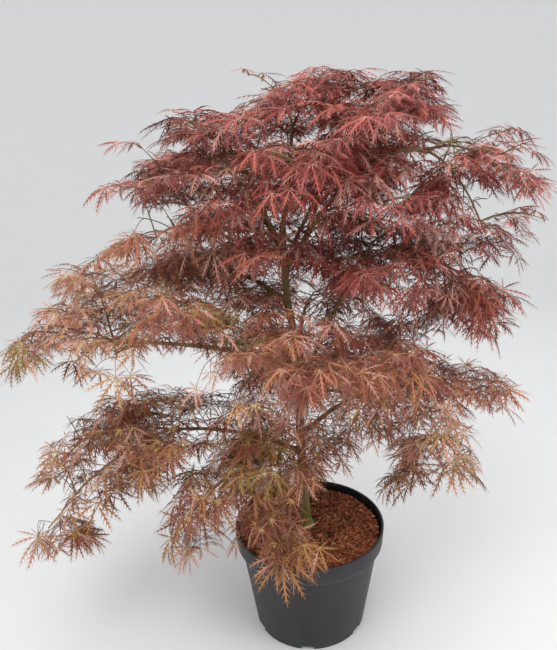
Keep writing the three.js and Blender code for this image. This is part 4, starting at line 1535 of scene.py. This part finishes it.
# Side shoots: how far apart on the wood, from what part of it, how long they are and how they lie
TRUNK_SHOOTS = {"spacing": 27, "first": 0.2, "reach": 88, "climb": 0.25, "droop": 30}
LIMB_SHOOTS = {"spacing": 21, "first": 0.12, "reach": 58, "climb": 0.42, "droop": 24}
STEM_SHOOTS = {"spacing": 25, "first": 0.06, "reach": 36, "climb": 0.25, "droop": 34}
SHOOT_SEEDS = 2000
SHOOT_TURN = 64
SHOOT_TURN_VARIES = 24
SHOOT_REACH_VARIES = 0.4
SHOOT_RADIUS = 0.85
SHOOT_BOW = 0.1
SHOOT_LEAVES = ((1, 0), (1, 50), (1, -50), (0.6, 72), (0.6, -72))
MISSING_LEAVES = 0.1
SHOOT_STALK = 19
SHOOT_STALK_VARIES = 0.4
SHOOT_STALK_RISE = 6
SHOOT_LEAF = 38
SHOOT_LEAF_VARIES = 0.32
SHOOT_LEAF_SWAY = 16
HANGING_PITCH = 34
GOLDEN_TURN = 137.5
ALONG_STEP = 0.03
UPRIGHT_SHARE = 0.004
NEARLY_LEVEL = (1, 1, 0.01)

# How far leaves may stand out of the part's box, and how near they come to an open view
BOX_MARGIN = 4
OPEN_MARGIN = 1.5

# Open places beside and through the crown, in the photograph's pixels: x, y and radius
OPEN_PLACES = (
    (482, 204, 8), (124, 227, 8), (426, 342, 5), (464, 354, 8), (172, 373, 14), (50, 380, 9),
    (83, 403, 8), (98, 392, 8), (34, 500, 11), (60, 492, 8), (145, 515, 9), (372, 470, 12),
    (396, 509, 10), (306, 292, 8), (510, 264, 5), (232, 90, 12), (254, 95, 7), (154, 117, 9),
    (113, 172, 10), (453, 86, 8), (423, 130, 5), (462, 145, 7), (58, 428, 9), (40, 442, 8),
    (40, 526, 7), (22, 322, 9), (45, 267, 10), (476, 359, 8), (368, 489, 10), (132, 164, 7),
    (60, 368, 7), (112, 364, 7), (146, 363, 9), (201, 361, 10), (328, 394, 6), (245, 373, 4),
    (528, 160, 7), (332, 471, 6), (356, 316, 6), (186, 430, 5), (331, 507, 12), (348, 522, 12),
    (327, 532, 7), (354, 500, 8), (306, 517, 5), (508, 337, 6), (494, 272, 6), (100, 235, 10),
    (200, 68, 12), (120, 125, 12), (176, 215, 6), (142, 227, 7), (225, 184, 4), (432, 163, 5),
    (478, 127, 7), (237, 562, 7), (470, 188, 7), (122, 204, 8), (160, 222, 5), (476, 268, 6),
    (441, 139, 5), (490, 211, 4), (94, 468, 6), (92, 494, 7), (56, 506, 7), (232, 393, 5),
    (210, 456, 4), (149, 546, 8), (430, 461, 4), (482, 213, 5), (504, 211, 5), (526, 211, 4),
    (78, 512, 5), (412, 160, 4), (338, 428, 4),
)

# Places in the photograph where young leaves are yellow-green: x, y and radius in its pixels
YOUNG_PLACES = (
    (272, 440, 15), (258, 470, 13), (20, 346, 14), (206, 304, 12), (112, 326, 10), (238, 318, 9),
    (470, 446, 8), (200, 470, 8), (170, 530, 8),
)

# Places in the photograph that longer twigs reach: x and y in its pixels, and depth in millimetres
TWIG_PLACES = (
    (232, 116, 20), (252, 118, -20), (275, 126, -30), (318, 124, 50), (300, 112, -60),
    (448, 222, -30), (478, 232, 0), (440, 246, 30), (497, 238, -20), (425, 218, -60),
    (468, 292, -20), (500, 292, -10), (440, 300, -10), (486, 304, -15), (390, 333, -20),
    (424, 334, 0), (352, 334, -60), (372, 318, 30), (92, 298, 0), (66, 312, -10), (118, 308, 40),
    (140, 292, -20), (250, 308, -40), (222, 330, -10), (275, 318, -20), (262, 290, 40),
    (212, 236, -20), (236, 246, 30), (190, 246, -10), (130, 396, 0), (168, 400, 20), (212, 398, 30),
    (240, 408, -20), (104, 406, -20), (62, 462, 0), (148, 478, -10), (176, 476, 10), (120, 470, 40),
    (250, 448, -80), (224, 470, -60), (282, 440, -60), (262, 478, -90), (205, 445, 0),
    (316, 450, -10), (262, 428, -70), (318, 470, -40), (360, 430, -60), (386, 436, -30),
    (256, 398, -60), (404, 448, -30), (398, 474, -30), (432, 464, -10), (536, 182, -10),
    (275, 412, -60), (535, 216, -20), (512, 158, 20), (200, 548, -100), (178, 540, -80),
    (62, 544, -40), (350, 86, 0), (302, 86, 20), (422, 78, 10), (142, 148, 0), (280, 89, 0),
    (150, 410, -20), (192, 412, 0), (544, 184, -10), (546, 220, -20), (452, 298, 20),
    (478, 296, -30), (408, 316, -10), (330, 336, -40), (345, 345, 20), (415, 440, 0), (432, 112, 10),
    (430, 194, -20), (408, 200, 0), (262, 244, 20), (310, 254, -20), (250, 520, -100),
    (288, 530, -110), (262, 545, -112), (300, 556, -118), (116, 482, 0), (72, 522, -50),
    (80, 470, -30), (500, 384, 0), (514, 390, -10), (462, 468, 10), (356, 90, -30), (500, 133, 10),
    (520, 182, -10), (178, 140, -20), (138, 188, 0), (146, 208, 0), (470, 306, -30), (445, 310, 10),
    (352, 424, -40), (340, 440, 10), (392, 84, 20), (330, 78, 0), (445, 318, -10), (470, 321, -20),
    (490, 318, -20), (430, 313, 0), (458, 312, 10), (482, 326, -10), (402, 476, -20), (412, 470, 10),
    (420, 478, -20), (330, 455, 10), (342, 450, -20), (380, 322, 0), (395, 338, -30), (365, 342, 10),
    (410, 332, 20), (484, 246, 10), (500, 250, -10), (470, 172, 10), (492, 178, 0), (432, 198, 10),
    (444, 206, -30), (410, 116, 30), (450, 126, 20), (434, 120, -20), (225, 126, 10),
    (240, 122, -10), (250, 250, 10), (238, 262, 0), (310, 264, -20), (322, 258, 20), (160, 206, 10),
    (130, 244, 10), (105, 258, 0), (60, 276, 0), (88, 362, -10), (132, 398, -20), (150, 400, 10),
    (185, 398, -10), (52, 470, -10), (66, 536, -50), (74, 528, -40), (205, 540, -90),
)
LONG_TWIG_SEED = 3000
LONG_TWIG = 62
LONG_TWIG_TRIES = 12
LONG_TWIG_ROOTS = (0.15, 0.3, 0.45, 0.6, 0.75, 0.9)
LONG_TWIG_LEAVES = (*SHOOT_LEAVES, (0.8, 60), (0.8, -60), (0.4, 76), (0.4, -76))
LONG_TWIG_DROOP = 22

# Tints of each tier, among them a painted sheen and two of painted shade, and how large a share of a
# spray or of a leaf keeps its first tint
TINT_COUNT = 5
VEIN_TINT = TINT_COUNT
YOUNG_TINT = TINT_COUNT + 1
SPRAY_TINT_SHARE = 0.7
SHOOT_TINT_SHARE = 0.8
LOBE_TINT_SHARE = 0.7
YOUNG_LEAF = (148, 114, 62)
YOUNG_DEPTH = 10
# A painted sheen: the pale greyish pink that one tint of each tier is mixed towards, for the light
# that the leaves catch
SHEEN = (214, 170, 154)
SHEEN_SHARE = 0.44
# Painted shade: one tint of each tier is its colour darkened by this much
SHADED_LEAF_TONE = 0.52
ACCENT_SHARE = 0.6
# Painted shade: another tint is the colour darkened and mixed towards this shaded red
SHADE = (112, 42, 42)
SHADE_TONE = 0.8
SHADE_SHARE = 0.5
LEAF_SHINE = 0.3
STALK_TINTS = ((128, 72, 58), (142, 96, 66), (120, 60, 54))
STALK_FINISH = (0.5, 0.4)
WOOD_TINTS = ((122, 106, 62), (112, 84, 58), (134, 120, 70))
WOOD_FINISH = (0.6, 0.35)
MOST_TRIANGLES = 190000

# Tiers from below: how high each reaches in millimetres, its veins' colour and its warmest colour
TIERS = {
    "bronze": (402, (184, 144, 90), (172, 124, 66)),
    "copper": (514, (186, 150, 96), (178, 134, 70)),
    "russet": (626, (182, 134, 100), (166, 112, 66)),
    "burgundy": (738, (176, 114, 98), (162, 92, 66)),
    "rose": (1000, (182, 116, 102), (172, 88, 74)),
}
TIER_SLANT = 0.4


def lobe_pattern():
    """A lobe, one unit long, that lies along X and faces up: a narrow blade with long teeth."""
    bm = bmesh.new()
    ends = [bm.verts.new((0, side * BLADE_ROOT_WIDTH, 0)) for side in (-1, 1)]
    edge = [bm.edges.new(ends)]
    angle = math.radians(TOOTH_ANGLE)
    for station, width, length in zip(BLADE_STATIONS, BLADE_WIDTHS, TOOTH_LENGTHS):
        edge, ends = extruded_ring(bm, edge)
        for vert in ends:
            vert.co = (station, math.copysign(width, vert.co.y), 0)
        for side in (-1, 1):
            _, ends = extruded_ring(bm, edge)
            reach = Vector((math.cos(angle), side * math.sin(angle), -TOOTH_DIP)) * length
            foot = Vector((station, side * width, 0))
            bmesh.ops.pointmerge(bm, verts=ends, merge_co=foot + reach)
    _, ends = extruded_ring(bm, edge)
    bmesh.ops.pointmerge(bm, verts=ends, merge_co=(1, 0, 0))
    bm.normal_update()
    bmesh.ops.reverse_faces(bm, faces=[face for face in bm.faces if face.normal.z < 0])
    return triangles_of(bm)


def leaf_pattern(count, lobe, random):
    """A leaf of cut lobes round its stalk's end, one unit from there to its longest tip."""
    vertices, faces = lobe
    copies = []
    for turn, length in zip(LOBE_TURNS[count], LOBE_LENGTHS[count]):
        yaw = math.radians(turn + vary(random, LOBE_HEADING_VARIES))
        tilt = vary(random, LOBE_TILT_VARIES)
        matrix = turn_matrix(yaw, tilt, vary(random, LOBE_ROLL_VARIES))
        scale = length * (1 + vary(random, LOBE_LENGTH_VARIES))
        bent = vertices.copy()
        bent[:, 1] += vary(random, LOBE_CURVE_VARIES) * vertices[:, 0] ** 2
        copies.append((bent * scale) @ matrix.T)
    steps = np.arange(count)[:, None, None] * len(vertices)
    return np.concatenate(copies), (faces[None] + steps).reshape(-1, 3)


def bent_leaf(pattern, centre, tip, bend, roll, grow):
    """A leaf laid from its stalk's end, its lobes curving down to reach the tip, in millimetres."""
    vertices, faces = pattern
    chord = tip - centre
    length = np.linalg.norm(chord) * grow / (math.sin(bend / 2) / (bend / 2))
    ahead = unit(chord)
    aside = unit(np.cross(UP, ahead))
    start = ahead * math.cos(bend / 2) + np.cross(ahead, aside) * math.sin(bend / 2)
    normal = np.cross(start, aside)
    aside, normal = (
        aside * math.cos(roll) + normal * math.sin(roll),
        normal * math.cos(roll) - aside * math.sin(roll),
    )
    reach = np.maximum(np.hypot(vertices[:, 0], vertices[:, 1]), LEAST_REACH)
    flat = np.sin(bend * reach) / (bend * reach)
    drop = (np.cos(bend * reach) - 1) / bend
    local = np.column_stack([vertices[:, 0] * flat, vertices[:, 1] * flat, vertices[:, 2] + drop])
    return centre + (local * length) @ np.array([start, aside, normal]), faces


def tier_at(point):
    """The tier of leaves at a point: the tiers sink to the right, where the leaves are redder."""
    height = point[2] + TIER_SLANT * point[0]
    return next(name for name, (top, _, _) in TIERS.items() if height < top)


def tint_or_other(tint, share, random):
    """The first tint for its share of the leaves or lobes, and any tint for the rest."""
    return tint if random() < share else int(random() * TINT_COUNT)


def seen_point(x, y, depth):
    """The point that the photograph shows at x and y, at a depth, and a pixel's size there."""
    eye = Vector(CAMERA_PLACE) / MM
    pixels = Vector((x - SIGHT_POINT[0], SIGHT_POINT[1] - y, -FOCAL_LENGTH))
    ray = camera_matrix().to_3x3() @ pixels
    pixel = (depth - eye.y) / ray.y
    return np.array(eye + ray * pixel), pixel


def line_of_sight(x, y, radius):
    """The view past a place in the photograph, from the crown's front to its back, as a rod."""
    (front, near), (back, far) = (seen_point(x, y, corner[1] / MM) for corner in CAD_BOX)
    return front, back, [radius * (near + far) / 2]


class Growth:
    """Stems, twigs, stalks and leaves as they are laid down, with their tints."""

    def __init__(self, settings):
        self.settings = settings
        self.stem_rod = rod_pattern(STEM_SIDES, STEM_STATIONS)
        self.twig_rod = rod_pattern(TWIG_SIDES, TWIG_STATIONS)
        self.stalk_rod = rod_pattern(STALK_SIDES, STALK_STATIONS)
        lobe = lobe_pattern()
        random = seeded_numbers(PATTERN_SEED)
        self.counts = [9 if i % 3 else 7 for i in range(LEAF_PATTERNS)]
        self.patterns = [leaf_pattern(count, lobe, random) for count in self.counts]
        self.vein = lobe[0][lobe[1]][:, :, 0].max(axis=1) < VEIN_REACH
        self.low = np.array(CAD_BOX[0]) / MM
        self.high = np.array(CAD_BOX[1]) / MM
        self.sky = Rods()
        self.young = Rods()
        for rods, places in ((self.sky, OPEN_PLACES), (self.young, YOUNG_PLACES)):
            for x, y, radius in places:
                rods.add(*line_of_sight(x, y, radius))
        self.wood = []
        self.wood_tints = []
        self.stalks = []
        self.stalk_tints = []
        self.leaves = {name: [] for name in TIERS}

    def has_room(self, start, end):
        """True within the reach of the part and beside every open place."""
        inside = np.all(end > self.low - BOX_MARGIN) and np.all(end < self.high + BOX_MARGIN)
        return bool(inside) and self.sky.are_clear(start, end, OPEN_MARGIN)

    def lobe_tints(self, pattern, tint, random):
        """One tint for each triangle: pale near the stalk, and a lobe here and there another."""
        lobes = range(self.counts[pattern])
        picks = [tint_or_other(tint, LOBE_TINT_SHARE, random) for _ in lobes]
        return np.concatenate([np.where(self.vein, VEIN_TINT, pick) for pick in picks])

    def add_leaf(self, tier, random, start, centre, tip, tint):
        """A leaf on a thin stalk of its own."""
        if not self.has_room(centre, tip):
            return
        if centre[1] < YOUNG_DEPTH and not self.young.are_clear(start, centre, 0):
            tint = YOUNG_TINT
        bow = min(STALK_BOW * np.linalg.norm(centre - start), MOST_BOW)
        points = arc_points(start, centre, bow * (LEAST_BOW + random()), STALK_STATIONS)
        radii = np.linspace(*STALK_RADII, STALK_STATIONS)
        self.stalks.append(bent_rod(self.stalk_rod, points, radii))
        self.stalk_tints.append(tint % len(STALK_TINTS))
        bend = self.settings.bend * (1 + vary(random, BEND_VARIES))
        pick = int(random() * LEAF_PATTERNS)
        roll = vary(random, ROLL_VARIES)
        grow = 1 + vary(random, LEAF_SIZE_VARIES)
        leaf = bent_leaf(self.patterns[pick], centre, tip, bend, roll, grow)
        self.leaves[tier].append((leaf, self.lobe_tints(pick, tint, random)))

    def add_twig(self, start, end, lift, foot, tint):
        """A thin twig, whose points are given back for its leaves."""
        points = arc_points(start, end, lift, TWIG_STATIONS)
        radii = np.linspace(foot, TWIG_END_RADIUS, TWIG_STATIONS)
        self.wood.append(bent_rod(self.twig_rod, points, radii))
        self.wood_tints.append(tint % len(WOOD_TINTS))
        return points

    def add_spray(self, tier, leaf, size, random):
        """The twig of one leaf of the part, with leaves in pairs that reach its lobe tips."""
        tint = int(random() * TINT_COUNT)
        lift = SPRAY_TWIG_BOW * np.linalg.norm(leaf.tip - leaf.root)
        foot = SPRAY_TWIG_FULLNESS * leaf.width
        points = self.add_twig(leaf.root, leaf.tip, lift, foot, tint)
        middle = len(leaf.tips) // 2
        for i, target in enumerate(leaf.tips):
            start = points[round(PAIR_PLACES[abs(i - middle)] * (TWIG_STATIONS - 1))]
            away = np.linalg.norm(target - start)
            length = (1 - size["palm"]) * away * (1 + vary(random, SPRAY_LEAF_VARIES))
            length = min(length, size["longest"])
            rise = UP * (SPRAY_LEAF_RISE * length * random())
            centre = target + (start - target) * (length / away) + rise
            sway = np.array([vary(random, amount) for amount in SPRAY_TIP_SWAY])
            pick = tint_or_other(tint, SPRAY_TINT_SHARE, random)
            tip = target + sway + SPRAY_TIP_RISE * rise
            self.add_leaf(tier, random, start, centre, tip, pick)

    def add_shoot(self, root, end, leaves, droop, random):
        """A thin twig with a leaf at its end and others in pairs."""
        if not self.has_room(root, end):
            return
        tint = int(random() * TINT_COUNT)
        tier = tier_at(end)
        lift = SHOOT_BOW * np.linalg.norm(end - root)
        points = self.add_twig(root, end, lift, SHOOT_RADIUS, tint)
        out = unit((end - root) * NEARLY_LEVEL)
        fall = max(0, unit(root - end)[2])
        for along, turn in leaves:
            if random() < MISSING_LEAVES:
                continue
            start = points[round(along * (TWIG_STATIONS - 1))]
            facing = turned(out, turn + vary(random, SHOOT_LEAF_SWAY))
            stalk = SHOOT_STALK * (1 + vary(random, SHOOT_STALK_VARIES))
            centre = start + (facing - UP * fall) * stalk
            centre += UP * (SHOOT_STALK_RISE * random())
            hang = droop + HANGING_PITCH * fall
            pitch = math.radians(hang + vary(random, SHOOT_LEAF_SWAY))
            leaf_run = facing * math.cos(pitch) - UP * math.sin(pitch)
            tip = centre + leaf_run * (SHOOT_LEAF * (1 + vary(random, SHOOT_LEAF_VARIES)))
            pick = tint_or_other(tint, SHOOT_TINT_SHARE, random)
            self.add_leaf(tier, random, start, centre, tip, pick)

    def add_twig_to(self, tip, wood, random):
        """A longer twig to a place in the crown, from the wood that lies a twig's length away."""
        roots = [path.point_at(part) for path in wood for part in LONG_TWIG_ROOTS]
        roots.sort(key=lambda point: abs(np.linalg.norm(tip - point) - LONG_TWIG))
        clear = (point for point in roots[:LONG_TWIG_TRIES] if self.has_room(point, tip))
        root = next(clear, roots[0])
        self.add_shoot(root, tip, LONG_TWIG_LEAVES, LONG_TWIG_DROOP, random)

    def add_shoots(self, point_at, length, size, random):
        """Side shoots in pairs along a limb or a stem."""
        count = max(1, round((1 - size["first"]) * length / size["spacing"]))
        for i in range(count):
            part = size["first"] + (1 - size["first"]) * (i + 0.5) / count
            root = point_at(part)
            before, beyond = part - ALONG_STEP, min(part + ALONG_STEP, 1)
            ahead = (point_at(beyond) - point_at(before)) * (1, 1, 0)
            level = np.linalg.norm(ahead) > UPRIGHT_SHARE * length
            ahead = unit(ahead) if level else heading(GOLDEN_TURN * i)
            for side in (-1, 1):
                facing = turned(ahead, side * (SHOOT_TURN + vary(random, SHOOT_TURN_VARIES)))
                run = size["reach"] * (1 + vary(random, SHOOT_REACH_VARIES))
                end = root + facing * run + UP * (size["climb"] * 2 * random() * run)
                self.add_shoot(root, end, SHOOT_LEAVES, size["droop"], random)

    def add_stem(self, mass):
        """The stem of a mass, out of its bough's tip."""
        last, before = mass.limb.points[-1], mass.limb.points[-2]
        inside = last - unit(last - before) * STEM_INSET
        points = smooth_points([inside, *mass.points], STEM_STATIONS)
        radii = np.linspace(mass.radii[0], STEM_END_RADIUS, STEM_STATIONS)
        self.wood.append(bent_rod(self.stem_rod, points, radii))
        self.wood_tints.append(mass.seed % len(WOOD_TINTS))


def leaf_tints(tier, colour):
    """A tier's colour, a paler kind with a painted sheen, a darker kind of painted shade, a warmer
    kind, a redder kind of painted shade, its veins and young leaves.
    """
    _, veins, accent = TIERS[tier]
    colour = np.array(colour)
    return [
        colour,
        # A paler kind with a painted sheen
        blend(colour, np.array(linear(SHEEN)), SHEEN_SHARE),
        # A darker kind: painted shade
        colour * SHADED_LEAF_TONE,
        blend(colour, np.array(linear(accent)), ACCENT_SHARE),
        # A redder kind: painted shade
        blend(colour * SHADE_TONE, np.array(linear(SHADE)), SHADE_SHARE),
        linear(veins),
        linear(YOUNG_LEAF),
    ]


@functools.cache
def grown_sprays():
    """All sprays of the crown, laid down once."""
    growth = Growth(bpy.context.scene.maple_leaves)
    limbs, masses = grown_tree()
    for mass in masses:
        random = seeded_numbers(SPRAY_SEEDS + mass.seed)
        growth.add_stem(mass)
        usual = {"palm": growth.settings.palm, "longest": LONGEST_LEAF}
        size = HANGING_LEAF if mass.name in HANGING_MASSES else usual
        for leaf in mass.leaves:
            growth.add_spray(tier_at(mass.centre), leaf, size, random)
        size = {**STEM_SHOOTS, "droop": mass.droop}
        growth.add_shoots(mass.point_at, path_length(mass.points), size, random)
    for index, limb in enumerate(limbs.values()):
        random = seeded_numbers(SHOOT_SEEDS + index)
        size = TRUNK_SHOOTS if limb.name == "trunk" else LIMB_SHOOTS
        growth.add_shoots(limb.point_at, path_length(limb.points), size, random)
    random = seeded_numbers(LONG_TWIG_SEED)
    for x, y, depth in TWIG_PLACES:
        growth.add_twig_to(seen_point(x, y, depth)[0], [*limbs.values(), *masses], random)
    return growth


class MAPLE_OT_twigs(bpy.types.Operator):
    """Grow the stems and twigs of the foliage, and the thin stalks of its leaves"""

    bl_idname = "maple.twigs"
    bl_label = "Stems, twigs and leaf stalks"

    def execute(self, context):
        growth = grown_sprays()
        _, masses = grown_tree()
        nodes = [f"foliage_{mass.name}" for mass in masses]
        bark = tint_materials("twig", map(linear, WOOD_TINTS), *WOOD_FINISH)
        mesh = mesh_from_copies("twigs", growth.wood, growth.wood_tints, smooth=True)
        twigs = scene_piece("twigs", mesh, *bark)
        skins = tint_materials("stalk", map(linear, STALK_TINTS), *STALK_FINISH)
        mesh = mesh_from_copies("leaf_stalks", growth.stalks, growth.stalk_tints, smooth=True)
        stalks = scene_piece("leaf_stalks", mesh, *skins)
        for piece in (twigs, stalks):
            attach(piece, "root")
            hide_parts(*nodes)
        return {"FINISHED"}


def leaf_batches(laid):
    """The leaves of a tier in batches that each stay under the most triangles of a piece."""
    batches = [[]]
    room = MOST_TRIANGLES
    for leaf, tints in laid:
        if len(tints) > room:
            batches.append([])
            room = MOST_TRIANGLES
        batches[-1].append((leaf, tints))
        room -= len(tints)
    return batches


class MAPLE_OT_leaves(bpy.types.Operator):
    """Lay the leaves of each tier, tinted spray by spray"""

    bl_idname = "maple.leaves"
    bl_label = "Leaves"

    def execute(self, context):
        settings = context.scene.maple_leaves
        growth = grown_sprays()
        _, masses = grown_tree()
        for tier in TIERS:
            nodes = [f"foliage_{mass.name}" for mass in masses if tier_at(mass.centre) == tier]
            colours = leaf_tints(tier, getattr(settings, tier))
            skins = tint_materials(tier, colours, settings.roughness, LEAF_SHINE)
            for i, batch in enumerate(leaf_batches(growth.leaves[tier])):
                name = f"leaves_{tier}_{i + 1}"
                mesh = mesh_from_copies(name, *zip(*batch))
                leaves = scene_piece(name, mesh, *skins)
                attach(leaves, "root")
                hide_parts(*nodes)
        return {"FINISHED"}


# Stage

CAMERA_PLACE = (-0.023, -0.861, 0.846)
CAMERA_PITCH = math.radians(29.1)
CAMERA_ROLL = math.radians(-1.5)
IMAGE_SIZE = (557, 650)
FOCAL_LENGTH = 650
SIGHT_POINT = (293, 430)
SENSOR = 36
NEAREST_VIEW = 0.01
FLOOR_GAP = 0.0003
FLAT_SHARE = 0.5
SWEEP_SHARE = 0.45
SWEEP_STEPS = 12
STAGE_STEPS = 96
BOARD_SHADE = 0.985
BOARD_ROUGHNESS = 0.7
SKY_COLOUR = (1, 1, 1, 1)

# Lamps: place, the point that each faces, width, and power as a part of the main lamp's
LAMPS = {
    "lamp_main": ((-0.65, -1.15, 2.35), (0, 0, 0.45), 1.5, 1),
    "lamp_top": ((0.3, 0.5, 2.6), (0, 0, 0.4), 2.2, 0.8),
    "lamp_fill": ((1.5, -1.0, 1.4), (0, 0, 0.5), 1.3, 0.42),
}


def camera_matrix():
    """The camera's turn and place: looking along +Y, tipped down and slightly rolled."""
    right = Vector((1, 0, 0))
    down = Vector((0, -math.sin(CAMERA_PITCH), -math.cos(CAMERA_PITCH)))
    ahead = Vector((0, math.cos(CAMERA_PITCH), -math.sin(CAMERA_PITCH)))
    rolled_right = right * math.cos(CAMERA_ROLL) - down * math.sin(CAMERA_ROLL)
    rolled_down = right * math.sin(CAMERA_ROLL) + down * math.cos(CAMERA_ROLL)
    matrix = Matrix.Identity(4)
    for k, column in enumerate((rolled_right, -rolled_down, -ahead, Vector(CAMERA_PLACE))):
        matrix.col[k][:3] = column
    return matrix


def add_lamp(name, place, target, width, power):
    """A large soft lamp that faces its target and isn't seen itself."""
    data = bpy.data.lights.new(name, "AREA")
    data.size = width
    data.energy = power
    lamp = bpy.data.objects.new(name, data)
    bpy.context.scene.collection.objects.link(lamp)
    lamp.location = place
    lamp.rotation_euler = (Vector(target) - Vector(place)).to_track_quat("-Z", "Y").to_euler()
    lamp.visible_camera = False


def stage_profile(size):
    """The section of the floor and the backdrop that it curves up into."""
    sweep = size.backdrop_height * SWEEP_SHARE
    turns = [math.pi / 2 * i / SWEEP_STEPS for i in range(SWEEP_STEPS + 1)]
    curve = [
        (size.floor_radius + sweep * math.sin(turn), sweep * (1 - math.cos(turn)))
        for turn in turns
    ]
    flat = [(0, 0), (size.floor_radius * FLAT_SHARE, 0)]
    wall = (size.floor_radius + sweep, size.backdrop_height)
    return [(radius, height - FLOOR_GAP) for radius, height in (*flat, *curve, wall)]


def stage_surface(colour):
    """Pale board with a hardly visible grain."""
    surface = Surface("pale_board")
    grain = surface.noise(surface.place, scale=9, detail=3)
    surface.colour(surface.ramp(grain, (0.2, toned(colour, BOARD_SHADE)), (0.8, colour)))
    surface.shader.inputs["Roughness"].default_value = BOARD_ROUGHNESS
    return surface.material


class MAPLE_OT_stage(bpy.types.Operator):
    """Set up the floor, the backdrop, the lamps and the camera"""

    bl_idname = "maple.stage"
    bl_label = "Stage"

    def execute(self, context):
        size = context.scene.maple_stage
        scene = context.scene
        mesh = mesh_from(spun_profile(stage_profile(size), STAGE_STEPS), "floor_and_backdrop")
        mesh.flip_normals()
        floor = scene_piece("floor_and_backdrop", mesh, stage_surface(size.colour))
        for name, (place, target, width, share) in LAMPS.items():
            add_lamp(name, place, target, width, size.lamp_power * share)
        world = bpy.data.worlds.new("soft_surround")
        world.use_nodes = True
        background = world.node_tree.nodes["Background"]
        background.inputs["Color"].default_value = SKY_COLOUR
        background.inputs["Strength"].default_value = size.sky_strength
        scene.world = world
        scene.view_settings.view_transform = "Standard"
        data = bpy.data.cameras.new("camera")
        data.sensor_width = SENSOR
        data.lens = FOCAL_LENGTH / IMAGE_SIZE[1] * SENSOR
        data.shift_x = (IMAGE_SIZE[0] / 2 - SIGHT_POINT[0]) / IMAGE_SIZE[1]
        data.shift_y = (SIGHT_POINT[1] - IMAGE_SIZE[1] / 2) / IMAGE_SIZE[1]
        data.clip_start = NEAREST_VIEW
        camera = bpy.data.objects.new("camera", data)
        scene.collection.objects.link(camera)
        camera.matrix_world = camera_matrix()
        scene.camera = camera
        return {"FINISHED"}


# Panel and registering

STEPS = (
    MAPLE_OT_pot,
    MAPLE_OT_soil,
    MAPLE_OT_trunk,
    MAPLE_OT_boughs,
    MAPLE_OT_twigs,
    MAPLE_OT_leaves,
    MAPLE_OT_stage,
)


class MAPLE_PT_panel(bpy.types.Panel):
    """Lists the pieces of the maple in the order they are built"""

    bl_label = "Potted laceleaf maple"
    bl_idname = "MAPLE_PT_panel"
    bl_space_type = "VIEW_3D"
    bl_region_type = "UI"
    bl_category = "Maple"

    def draw(self, context):
        for step in STEPS:
            self.layout.operator(step.bl_idname)


SETTINGS = {
    "maple_pot": PotSettings,
    "maple_soil": SoilSettings,
    "maple_bark": BarkSettings,
    "maple_leaves": LeafSettings,
    "maple_stage": StageSettings,
}


def register():
    for settings in SETTINGS.values():
        bpy.utils.register_class(settings)
    for step in STEPS:
        bpy.utils.register_class(step)
    bpy.utils.register_class(MAPLE_PT_panel)
    for name, settings in SETTINGS.items():
        setattr(bpy.types.Scene, name, bpy.props.PointerProperty(type=settings))


def unregister():
    for name in SETTINGS:
        delattr(bpy.types.Scene, name)
    bpy.utils.unregister_class(MAPLE_PT_panel)
    for step in reversed(STEPS):
        bpy.utils.unregister_class(step)
    for settings in SETTINGS.values():
        bpy.utils.unregister_class(settings)


def main():
    register()
    bpy.ops.maple.pot()
    bpy.ops.maple.soil()
    bpy.ops.maple.trunk()
    bpy.ops.maple.boughs()
    bpy.ops.maple.twigs()
    bpy.ops.maple.leaves()
    bpy.ops.maple.stage()


if __name__ == "__main__":
    main()
